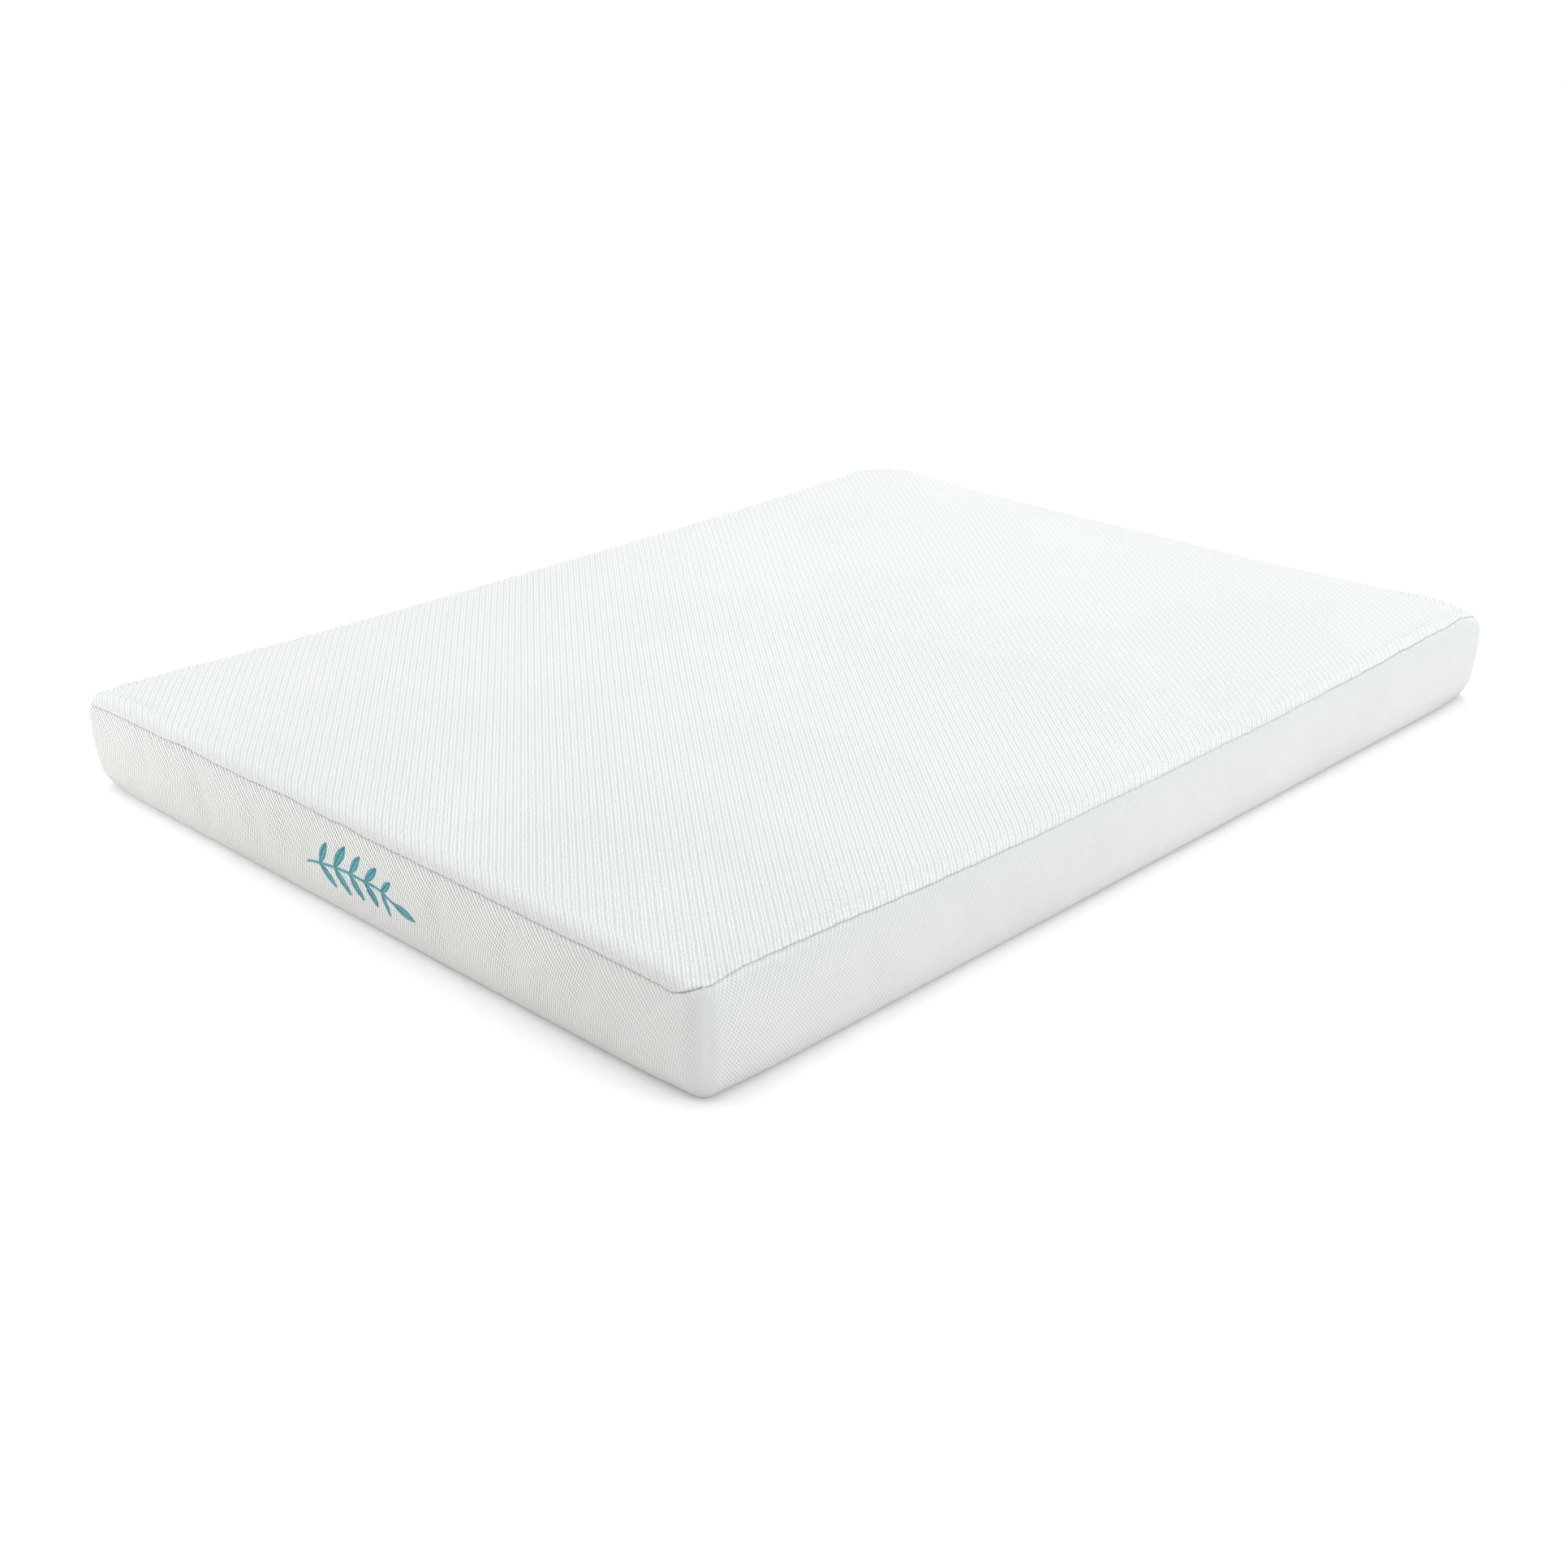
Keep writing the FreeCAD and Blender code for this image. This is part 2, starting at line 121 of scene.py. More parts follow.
def profile(q):
    """Distance from the corner's axis, height, and the surface's direction outwards and up, at q."""
    top = ROLL_START + np.clip(q, 0, ROLL_LENGTH) / EDGE_RADIUS
    side = ROLL_START + np.clip(q, -SIDE_LENGTH, 0) / SIDE_RADIUS
    low = -ROLL_START + np.clip(q + SIDE_LENGTH, -ROLL_LENGTH, 0) / EDGE_RADIUS
    past_top = np.maximum(q - ROLL_LENGTH, 0)
    past_low = np.maximum(-q - SIDE_LENGTH - ROLL_LENGTH, 0)
    on_side = (q <= 0) & (q >= -SIDE_LENGTH)
    angle = np.where(on_side, side, np.where(q > 0, top, low))
    r_roll = ROLL_AXIS + EDGE_RADIUS * np.cos(angle) - past_top - past_low
    r_side = CORNER_RADIUS - SIDE_RADIUS + SIDE_RADIUS * np.cos(side)
    z_roll = np.where(q > 0, HEIGHT - EDGE_RADIUS, EDGE_RADIUS) + EDGE_RADIUS * np.sin(angle)
    z_side = HEIGHT / 2 + SIDE_RADIUS * np.sin(side)
    r = np.where(on_side, r_side, r_roll)
    z = np.where(on_side, z_side, z_roll)
    return r, z, np.cos(angle), np.sin(angle)


def q_at(z):
    """The q of a height on the side or, below it, on the bottom roll."""
    side = SIDE_RADIUS * (np.arcsin((z - HEIGHT / 2) / SIDE_RADIUS) - ROLL_START)
    on_roll = np.clip((z - EDGE_RADIUS) / EDGE_RADIUS, -1, 0)
    low = -SIDE_LENGTH + EDGE_RADIUS * (np.arcsin(on_roll) + ROLL_START)
    return np.where(z < EDGE_RADIUS * (1 - math.sin(ROLL_START)), low, side)


def column(side, run):
    """The corner axis or the point of the core line that a run belongs to, and its direction out."""
    half, heading = STRAIGHT[side], HEADING[side]
    other = CORE_Y if half == CORE_X else CORE_X
    straight = np.clip(run, -half, half)
    angle = heading + (run - straight) / CORNER_RADIUS
    x = other * math.cos(heading) - straight * math.sin(heading)
    y = other * math.sin(heading) + straight * math.cos(heading)
    return x, y, np.cos(angle), np.sin(angle)


def to_corner(side, run):
    """Distance along the outline to the middle of the nearest corner."""
    return STRAIGHT[side] + QUARTER - np.abs(run)


# The filled cover's shape: how its corners draw in towards the bottom, how round its lower edge is
CORNER_TAPER = 0.007
CORNER_TAPER_TOP = 0.115
CORNER_REACH = 0.085
UNTAPERED = (("head", 1), ("left", -1))
BOTTOM_ROUNDING = 0.008
BOTTOM_ROUNDING_TOP = 0.040
BOTTOM_ROUNDING_END = 0.05

# How far the top sinks by the middle of each edge, along each edge and at each corner
EDGE_DIP = {"foot": 0.003, "right": 0.005, "head": 0.008, "left": 0.009}
DIP_REACH = 0.13
DIP_FOOT = 0.055
SHOULDER = {"foot": 0.0015, "right": 0.003, "head": 0.005, "left": 0.010}
SHOULDER_REACH = 0.05
CORNER_DROP = {("foot", 1): 0.004, ("right", 1): 0.012, ("head", 1): 0.008, ("left", 1): 0.002}
CORNER_DROP_REACH = 0.05

# How far each corner stands out just under the top seam
EAR = 0.002
EAR_REACH = 0.05
EAR_Z = 0.155
EAR_HEIGHT = 0.022

# The soft hollow beside the near corner's seam
FOLD_DEPTH = 0.0025
FOLD_PLACE = 0.010
FOLD_WIDTH = 0.008
FOLD_Z = 0.095
FOLD_REACH = 0.05

# Unevenness of the fabric, none at the floor and none where the tapes hold it flat
SLOW_SWAY = 0.0011
FAST_SWAY = 0.0006
SWAY_START = 0.02
ZIP_HOLD = 0.03
ZIP_HOLD_HALF = 0.018


def near_zip(side, run, z):
    """1 round the zip's opening, 0 away from it: the fabric there is held flat by the tapes."""
    if side not in ZIP_RUN:
        return np.zeros(np.broadcast(run, z).shape)
    start, end = ZIP_RUN[side]
    along = smooth((end + ZIP_HOLD - run) / ZIP_HOLD) * smooth((run - start + ZIP_HOLD) / ZIP_HOLD)
    from_middle = np.abs(z - (SLOT_LOW + SLOT_HIGH) / 2)
    return along * (1 - smooth((from_middle - ZIP_HOLD_HALF) / ZIP_HOLD))


def dip(x, y):
    """How far the top has sunk near each edge and corner."""
    inset = {"foot": y + HALF_Y, "right": HALF_X - x, "head": HALF_Y - y, "left": x + HALF_X}
    total = 0.0
    for side in SIDES:
        along = (x if side in ("foot", "head") else y) / (STRAIGHT[side] + CORNER_RADIUS)
        total = total + EDGE_DIP[side] * (1 - along**2) * bell(inset[side], DIP_REACH)
        total = total + SHOULDER[side] * bell(np.maximum(inset[side], 0), SHOULDER_REACH)
    for (side, way), drop in CORNER_DROP.items():
        cx, cy, nx, ny = column(side, np.array(way * (STRAIGHT[side] + QUARTER)))
        away = np.hypot(x - cx - nx * CORNER_RADIUS, y - cy - ny * CORNER_RADIUS)
        total = total + drop * bell(away, CORNER_DROP_REACH)
    return total


def sunk_share(z):
    """How much of the top's dip reaches down to this height."""
    return smooth((z - DIP_FOOT) / (HEIGHT - DIP_FOOT))


def sway(x, y, z):
    """Slow unevenness of the foam and the fabric over it."""
    a = np.sin(6.1 * x + 2.3 * y + 1.0) * np.sin(4.7 * y - 3.1 * x + 25 * z)
    b = np.sin(13.0 * x - 7.0 * y + 18 * z + 2.0) * np.sin(10.3 * y + 4.1 * x + 0.5)
    return SLOW_SWAY * a + FAST_SWAY * b


def rounding(side, run):
    """1 where the lower edge is well rounded, 0 where the zip holds it."""
    if side in ("foot", "right"):
        return np.ones(np.shape(run))
    corner = STRAIGHT[side] + QUARTER
    gap = run + corner if side == "head" else corner - run
    return bell(gap, BOTTOM_ROUNDING_END)


def cover(side, run, q, depth=0.0):
    """Points of the cover at this run and q, as far under its surface as depth says."""
    run, q = np.broadcast_arrays(run, q)
    r, z, out, up = profile(q)
    x, y, nx, ny = column(side, run)
    low = smooth((CORNER_TAPER_TOP - z) / CORNER_TAPER_TOP)
    rounded = smooth((BOTTOM_ROUNDING_TOP - z) / BOTTOM_ROUNDING_TOP)
    rounded = rounded * rounding(side, run) * smooth(r / CORNER_RADIUS)
    corner = bell(to_corner(side, run), CORNER_REACH)
    corner = corner * np.where(run > 0, (side, 1) not in UNTAPERED, (side, -1) not in UNTAPERED)
    inward = corner * CORNER_TAPER * low + BOTTOM_ROUNDING * rounded
    if side == "right":
        near_fold = bell(run + STRAIGHT[side] + QUARTER - FOLD_PLACE, FOLD_WIDTH)
        inward = inward + FOLD_DEPTH * near_fold * bell(z - FOLD_Z, FOLD_REACH)
    inward = inward - EAR * bell(to_corner(side, run), EAR_REACH) * bell(z - EAR_Z, EAR_HEIGHT)
    bumps = sway(x + nx * r, y + ny * r, z) * (1 - near_zip(side, run, z)) * smooth(z / SWAY_START)
    r = r + (bumps - depth) * out - inward
    px, py = x + nx * r, y + ny * r
    pz = z + (bumps - depth) * up - dip(px, py) * sunk_share(z)
    return np.stack([px, py, pz], -1)


def level(x, y, z):
    """Points of a flat layer inside the core line, sunk with the cover over it."""
    pz = z + sunk_share(z) * (sway(x, y, HEIGHT) - dip(x, y))
    return np.stack([x, y, pz], -1)


# The top seam's path, as q: it climbs over the long sides' rolled edges towards the corners
FOOT_SEAM_Q = -0.003
LONG_SEAM_CLIMB = 0.0185
LONG_SEAM_LOW_Y = 0.06
LONG_SEAM_REACH = 0.955
LEFT_SEAM_SHARE = 0.55
SEAM_CLIMB_BEFORE = 0.025
SEAM_CLIMB_POWER = 2.2
# Where the foot's seam rides up: place along X, rise and half-width
FOOT_SEAM_RISES = ((-0.445, 0.0025, 0.06), (-0.15, 0.0028, 0.08), (-0.004, 0.0026, 0.03))


def seam_on_straight(side, run):
    """The q of the top seam along a side's straight part: its slow path and its small waves."""
    if side == "foot":
        path = FOOT_SEAM_Q + sum(rise * bell(run - x, width) for x, rise, width in FOOT_SEAM_RISES)
        return path + 0.0007 * ripple(run, (0.031, 0.077, 0.23), 3)
    if side == "head":
        return FOOT_SEAM_Q / 2 + 0.0013 * ripple(run, (0.028, 0.061, 0.16, 0.37), 5)
    along = run - LONG_SEAM_LOW_Y if side == "right" else -run - LONG_SEAM_LOW_Y
    climb = LONG_SEAM_CLIMB * np.minimum(1, (np.abs(along) / LONG_SEAM_REACH) ** SEAM_CLIMB_POWER)
    waves = 0.0007 * ripple(run, (0.043, 0.11, 0.29), 7) * (1 + 1.6 * smooth((run - 0.5) / 0.4))
    return climb * (1 if side == "right" else LEFT_SEAM_SHARE) + waves


def seam_q(side, run):
    """The q of the top seam. The foot's and the head's climb at their ends to the long sides' height."""
    half = STRAIGHT[side]
    own = seam_on_straight(side, np.clip(run, -half, half))
    if side in ("right", "left"):
        return own
    here = SIDES.index(side)
    before, after = SIDES[here - 1], SIDES[(here + 1) % 4]
    from_before = float(seam_on_straight(before, np.array(STRAIGHT[before])))
    from_after = float(seam_on_straight(after, np.array(-STRAIGHT[after])))
    climbed = smooth((np.abs(run) - half + SEAM_CLIMB_BEFORE) / (QUARTER + SEAM_CLIMB_BEFORE))
    return own + (np.where(run > 0, from_after, from_before) - own) * climbed


def strip_runs(side, step=1):
    """The runs of a border strip's columns, from corner middle to corner middle."""
    half = STRAIGHT[side]
    steps = (STEPS_X if half == CORE_X else STEPS_Y) // step
    bend = np.linspace(0, QUARTER, STEPS_CORNER // 2 // step + 1)
    return np.concatenate([-half - bend[:0:-1], np.linspace(-half, half, steps + 1), half + bend[1:]])


def around(place, step=1):
    """place(side, runs) of each side joined into one loop of points, each corner middle once."""
    return np.concatenate([place(side, strip_runs(side, step)[:-1]) for side in SIDES])


PUCKER_DEPTH = 0.00055
PUCKER_LENGTHS = (0.019, 0.024, 0.033)
PUCKER_REACH = 0.011
PUCKER_CORNER = 0.02


def pucker(side, run, away):
    """Small gathers of the fabric beside a seam, away from it by this much."""
    waves = ripple(run, PUCKER_LENGTHS, 11 + SIDES.index(side))
    return PUCKER_DEPTH * waves * bell(away, PUCKER_REACH) * smooth(to_corner(side, run) / PUCKER_CORNER)


# What the cloth simulation did to the cover: a tree of its points and how far each moved
settled = {"tree": None, "moves": None}
SETTLE_POINTS = 5
SETTLE_SHARPNESS = 1.6


def settle(points):
    """Moves points of the cover by what the simulation did near them."""
    if settled["tree"] is None:
        return points
    flat = points.reshape(-1, 3)
    index = np.zeros((len(flat), SETTLE_POINTS), int)
    gap = np.zeros((len(flat), SETTLE_POINTS))
    for i, p in enumerate(flat):
        for k, (_, j, d) in enumerate(settled["tree"].find_n(p, SETTLE_POINTS)):
            index[i, k] = j
            gap[i, k] = d
    weight = np.exp(-((gap / SIM_STEP) ** 2) * SETTLE_SHARPNESS) + 1e-12
    weight /= weight.sum(1, keepdims=True)
    return (flat + (settled["moves"][index] * weight[:, :, None]).sum(1)).reshape(points.shape)


# --- Mesh making -------------------------------------------------------------------------------------

def new_object(name, points, faces, cloth=None, material=None):
    """A smooth-shaded object, with the fabric's own flat coordinates in the attribute cloth."""
    mesh = bpy.data.meshes.new(name)
    mesh.from_pydata(np.asarray(points).reshape(-1, 3).tolist(), [], faces)
    mesh.shade_smooth()
    if cloth is not None:
        made = mesh.attributes.new("cloth", "FLOAT_VECTOR", "POINT")
        flat = np.zeros((len(mesh.vertices), 3), np.float32)
        flat[:, :2] = np.asarray(cloth).reshape(-1, 2)
        made.data.foreach_set("vector", flat.ravel())
    obj = bpy.data.objects.new(name, mesh)
    bpy.context.scene.collection.objects.link(obj)
    if material:
        mesh.materials.append(material)
    return obj


def thicken(obj, thickness):
    """Gives a sheet its thickness, inwards from its outer face, with crisp cut edges."""
    mesh = obj.data
    edge_of_corner = np.empty(len(mesh.loops), np.int32)
    mesh.loops.foreach_get("edge_index", edge_of_corner)
    faces_at_edge = np.bincount(edge_of_corner, minlength=len(mesh.edges))
    mesh.edges.foreach_set("use_edge_sharp", faces_at_edge == 1)
    solid = obj.modifiers.new("thickness", "SOLIDIFY")
    solid.thickness = thickness
    solid.offset = -1
    solid.use_rim = True
    return obj


def ring_faces(low, high):
    """Faces between two loops of vertex numbers, the second with as many or half as many vertices."""
    faces = []
    n, m = len(low), len(high)
    for k in range(m):
        if n == m:
            face = [low[k], low[(k + 1) % n], high[(k + 1) % m], high[k]]
        else:
            face = [low[2 * k], low[2 * k + 1], low[(2 * k + 2) % n], high[(k + 1) % m], high[k]]
        kept = [v for i, v in enumerate(face) if v != face[i - 1]]
        if len(kept) > 2:
            faces.append(kept)
    return faces


def grid_quads(number):
    """The faces of a grid of vertex numbers."""
    return np.stack([number[:-1, :-1], number[1:, :-1], number[1:, 1:], number[:-1, 1:]], -1).reshape(-1, 4)


def core_grid(step, z, first):
    """The points, faces and vertex loop of a flat layer inside the core line."""
    nx, ny = STEPS_X // step, STEPS_Y // step
    across, along = np.linspace(-CORE_X, CORE_X, nx + 1), np.linspace(-CORE_Y, CORE_Y, ny + 1)
    flat = np.stack(np.meshgrid(across, along, indexing="ij"), -1).reshape(-1, 2)
    number = first + np.arange(len(flat)).reshape(nx + 1, ny + 1)
    cx, cy = around(lambda side, run: np.stack(np.broadcast_arrays(*column(side, run)[:2]), -1), step).T
    i = np.rint((cx + CORE_X) / (2 * CORE_X) * nx).astype(int)
    j = np.rint((cy + CORE_Y) / (2 * CORE_Y) * ny).astype(int)
    return level(flat[:, 0], flat[:, 1], z), flat, grid_quads(number).tolist(), number[i, j].tolist()


def tower(name, rows, z_low=None, z_high=None, material=None):
    """A body of loops, rows of (step, place) from the lowest to the highest, with flat layers at z_low and
    z_high where given. place(side, runs) gives points and flat cloth coordinates."""
    points, cloth, loops, faces = [], [], [], []
    count = 0
    for step, place in rows:
        made = around(lambda side, run: np.concatenate(place(side, run), -1), step)
        points.append(made[:, :3])
        cloth.append(made[:, 3:])
        loops.append(list(range(count, count + len(made))))
        count += len(made)
    for low, high in zip(loops, loops[1:]):
        if len(low) >= len(high):
            faces += ring_faces(low, high)
        else:
            faces += [face[::-1] for face in ring_faces(high, low)]
    for z, end, way in ((z_low, 0, -1), (z_high, -1, 1)):
        if z is None:
            continue
        flat_points, flat_cloth, quads, border = core_grid(rows[end][0], z, count)
        points.append(flat_points)
        cloth.append(flat_cloth)
        count += len(flat_points)
        faces += [face[::way] for face in ring_faces(loops[end], border) + quads]
    return new_object(name, np.concatenate(points), faces, np.concatenate(cloth), material)


def unrolled(side, run, q):
    """Flat coordinates of a panel's rolled edge: its distance from the core line, laid out flat."""
    x, y, nx, ny = column(side, run)
    out = CORE_Q - q
    return np.stack(np.broadcast_arrays(x + nx * out, y + ny * out), -1)


# --- Cloth simulation --------------------------------------------------------------------------------

SIM_STEP = 0.024
SIM_COLUMN_STEP = 4
SIM_BORDER_ROWS = 8
SIM_FRAMES = 20
SIM_START_INSET = 0.002
SIM_FLOOR = 0.0005
SIM_CAP_OUT = 0.006
SIM_CAP_IN = 0.0015
SIM_CAP_SIDEWAYS = 0.002
SEAM_HOLD = 0.75
SIM_FABRIC = {
    "quality": 5, "mass": 0.25, "tension_stiffness": 18, "compression_stiffness": 18, "shear_stiffness": 6,
    "bending_stiffness": 0.6, "air_damping": 4, "shrink_min": -0.012, "use_pressure": True,
    "uniform_pressure_force": 3.0, "vertex_group_mass": "held", "pin_stiffness": 1.0,
}


def simulated_shell():
    """A coarse closed copy of the sewn cover, a little inside it."""
    def row(q_of):
        def place(side, run):
            q = q_of(side, run)
            return cover(side, run, q, SIM_START_INSET), unrolled(side, run, q)
        return SIM_COLUMN_STEP, place
    bottom_q = q_at(BOTTOM_SEAM_Z)
    rows = [row(lambda side, run: np.full(len(run), -SIDE_LENGTH - ROLL_LENGTH))]
    for share in np.linspace(0, 1, SIM_BORDER_ROWS):
        rows.append(row(lambda side, run, share=share: bottom_q + (seam_q(side, run) - bottom_q) * share))
    for share in (0.35, 0.7):
        rows.append(row(lambda side, run, share=share: seam_q(side, run) * (1 - share) + CORE_Q * share))
    return tower("simulated_cover", rows, z_low=SIM_FLOOR, z_high=HEIGHT - SIM_START_INSET)


def simulate_cover():
    """Fills a coarse copy of the sewn cover with pressure, held at its seams, and keeps its moves."""
    shell = simulated_shell()
    start = np.array([v.co for v in shell.data.vertices])
    normals = np.array([v.normal for v in shell.data.vertices])
    columns = 2 * (STEPS_X + STEPS_Y + 2 * STEPS_CORNER) // SIM_COLUMN_STEP
    top_seam = SIM_BORDER_ROWS * columns
    held = shell.vertex_groups.new(name="held")
    held.add([*range(2 * columns), *range(top_seam, top_seam + columns)], SEAM_HOLD, "REPLACE")
    held.add([i for i, z in enumerate(start[:, 2]) if z < 2 * SIM_FLOOR], 1.0, "REPLACE")
    cloth = shell.modifiers.new("Cloth", "CLOTH")
    for name, value in SIM_FABRIC.items():
        setattr(cloth.settings, name, value)
    cloth.settings.effector_weights.gravity = 0
    cloth.collision_settings.use_collision = False
    cloth.point_cache.frame_start = 1
    cloth.point_cache.frame_end = SIM_FRAMES
    for f in range(1, SIM_FRAMES + 1):
        bpy.context.scene.frame_set(f)
    done = shell.evaluated_get(bpy.context.evaluated_depsgraph_get())
    moves = np.array([v.co for v in done.data.vertices]) - start
    outwards = (moves * normals).sum(1, keepdims=True)
    sideways = moves - outwards * normals
    length = np.linalg.norm(sideways, axis=1, keepdims=True)
    sideways *= np.minimum(1, SIM_CAP_SIDEWAYS / np.maximum(length, 1e-9))
    swollen = SIM_CAP_OUT * np.tanh(np.maximum(outwards, 0) / SIM_CAP_OUT)
    sunk = np.maximum(np.minimum(outwards, 0), -SIM_CAP_IN)
    tree = KDTree(len(start))
    for i, p in enumerate(start):
        tree.insert(p, i)
    tree.balance()
    settled["tree"], settled["moves"] = tree, (swollen + sunk) * normals + sideways
    bpy.data.objects.remove(shell)
    bpy.context.scene.frame_set(1)


# --- Materials ---------------------------------------------------------------------------------------

class Paint:
    """A node material under construction. Methods return sockets, and plain numbers go in as they are."""

    def __init__(self, name, **shader):
        self.material = bpy.data.materials.new(name)
        self.material.use_nodes = True
        self.tree = self.material.node_tree
        self.tree.nodes.clear()
        self.shader = self.tree.nodes.new("ShaderNodeBsdfPrincipled")
        end = self.tree.nodes.new("ShaderNodeOutputMaterial")
        self.tree.links.new(self.shader.outputs[0], end.inputs["Surface"])
        for socket, value in shader.items():
            self.shader.inputs[socket.replace("_", " ")].default_value = value

    def put(self, socket, value):
        if isinstance(value, bpy.types.NodeSocket):
            self.tree.links.new(value, socket)
        elif isinstance(value, tuple) and len(value) == 3 and socket.type == "RGBA":
            socket.default_value = (*value, 1.0)
        else:
            socket.default_value = value

    def node(self, kind, inputs=None, out=0, **settings):
        made = self.tree.nodes.new("ShaderNode" + kind)
        for name, value in settings.items():
            setattr(made, name, value)
        for name, value in (inputs or {}).items():
            self.put(made.inputs[name], value)
        return made.outputs[out]

    def math(self, operation, a, b=0.0):
        return self.node("Math", {0: a, 1: b}, operation=operation)

    def add(self, *values):
        total = values[0]
        for value in values[1:]:
            total = self.math("ADD", total, value)
        return total

    def times(self, a, b):
        return self.math("MULTIPLY", a, b)

    def span(self, value, low, high, to_low=0.0, to_high=1.0):
        """value mapped from one range to another, held at its ends."""
        return self.node("MapRange", {"Value": value, "From Min": low, "From Max": high,
                                      "To Min": to_low, "To Max": to_high})

    def mix(self, share, a, b):
        made = self.tree.nodes.new("ShaderNodeMix")
        made.data_type = "RGBA"
        for socket, value in ((made.inputs[0], share), (made.inputs[6], a), (made.inputs[7], b)):
            self.put(socket, value)
        return made.outputs[2]

    def cloth(self):
        return self.node("Attribute", attribute_name="cloth", out=1)

    def place(self):
        return self.node("TexCoord", out=3)

    def noise(self, at, scale, detail=2.0, rough=0.5, out=0):
        inputs = {"Vector": at, "Scale": scale, "Detail": detail, "Roughness": rough}
        return self.node("TexNoise", inputs, out=out)

    def scaled(self, at, x, y, z=1.0):
        return self.node("VectorMath", {0: at, 1: (x, y, z)}, operation="MULTIPLY")

    def shifted(self, at, by, amount):
        """Coordinates moved by a noise colour, so that rows of stitches wander a little."""
        centred = self.node("VectorMath", {0: by, 1: (0.5, 0.5, 0.5)}, operation="SUBTRACT")
        small = self.node("VectorMath", {0: centred, "Scale": amount}, operation="SCALE")
        return self.node("VectorMath", {0: at, 1: small}, operation="ADD")

    def phase(self, at, degrees, period, skew=None):
        """The phase of a wave that travels along this direction, plus a second one's where given."""
        turn = 2 * math.pi / period
        kx, ky = turn * math.cos(math.radians(degrees)), turn * math.sin(math.radians(degrees))
        if skew:
            kx += 2 * math.pi / skew[1] * math.cos(math.radians(skew[0]))
            ky += 2 * math.pi / skew[1] * math.sin(math.radians(skew[0]))
        return self.node("VectorMath", {0: at, 1: (kx, ky, 0.0)}, operation="DOT_PRODUCT", out=1)

    def wave(self, *phase):
        return self.math("COSINE", self.phase(*phase))

    def finish(self, colour, height, distance, strength=1.0):
        """The finished material, with this colour and this relief."""
        bump = self.node("Bump", {"Height": height, "Distance": distance, "Strength": strength})
        self.put(self.shader.inputs["Base Color"], colour)
        self.put(self.shader.inputs["Normal"], bump)
        return self.material


RIB_ANGLE = -39.3
RIB_REPEAT = 0.0113
LOOP_PITCH = 0.0026
YARN_PITCH = 0.0011
YARN_SHARE = 0.13
FUZZ_SCALE = 2600.0
FUZZ = 0.25

# Where along -Y the top panel's rolled edge over the foot's seam is painted darker grey as shade, with its
# ribs drawn as slanted dashes
SHADED_ROLL_START = CORE_Y + 0.021
SHADED_ROLL_END = CORE_Y + 0.034


def knit_top():
    """Diagonal ribs in pairs, a wide one and a narrow one, each a row of small knitted loops. The grooves
    are painted darker as shade, and the rolled edge over the foot's seam is painted darker grey as shade.
    """
    p = Paint("knit_top", Roughness=0.86, Sheen_Weight=0.12, Sheen_Roughness=0.55, Specular_IOR_Level=0.25)
    flat = p.cloth()
    warped = p.shifted(flat, p.noise(flat, 38.0, 2.0, out=1), 0.0016)
    across = RIB_ANGLE + 90
    turn = p.phase(warped, across, RIB_REPEAT)
    pairs = p.math("COSINE", p.times(turn, 2.0))
    uneven = p.math("SINE", turn)
    fine = p.math("SINE", p.times(turn, 3.0))
    loops = p.wave(warped, RIB_ANGLE, LOOP_PITCH, (across, RIB_REPEAT))
    turned = {"Vector": warped, "Angle": math.radians(-RIB_ANGLE)}
    stretched = p.node("VectorRotate", turned, rotation_type="Z_AXIS")
    grains = p.noise(p.scaled(stretched, 190.0, 420.0), 1.0, 2.0, 0.6)
    ribs = p.add(p.times(pairs, 0.42), p.times(uneven, 0.17), p.times(fine, 0.20))
    yarns = p.wave(warped, RIB_ANGLE + 20, YARN_PITCH)
    surface = p.add(ribs, p.times(loops, 0.32), p.times(yarns, YARN_SHARE),
                    p.times(p.math("SUBTRACT", grains, 0.5), 2.2))
    height = p.span(surface, -0.9, 0.9)
    patches = p.span(p.noise(flat, 2.3, 3.0), 0.35, 0.65)
    # painted shade: the grooves between the ribs are coloured much darker than the ribs, standing for the
    # shade that falls in them
    groove = p.mix(patches, (0.455, 0.487, 0.477), (0.475, 0.505, 0.496))
    rib = p.mix(patches, (0.752, 0.768, 0.762), (0.770, 0.784, 0.778))
    colour = p.mix(height, groove, rib)
    down = p.node("SeparateXYZ", {"Vector": flat}, out=1)
    lip = p.span(down, -SHADED_ROLL_START, -SHADED_ROLL_END)
    slants = p.span(p.add(p.wave(warped, 62.0, 0.0037), p.times(ribs, 0.5)), -1.0, 1.0)
    # painted shade: the rolled edge over the foot turns away from the light, so it is coloured darker grey
    # here
    shaded_roll_colour = p.mix(slants, (0.40, 0.41, 0.41), (0.74, 0.75, 0.75))
    colour = p.mix(p.times(lip, 0.6), colour, shaded_roll_colour)
    relief = p.add(height, p.times(p.noise(flat, FUZZ_SCALE, 1.0), FUZZ))
    return p.finish(colour, relief, 0.0007, 0.8)


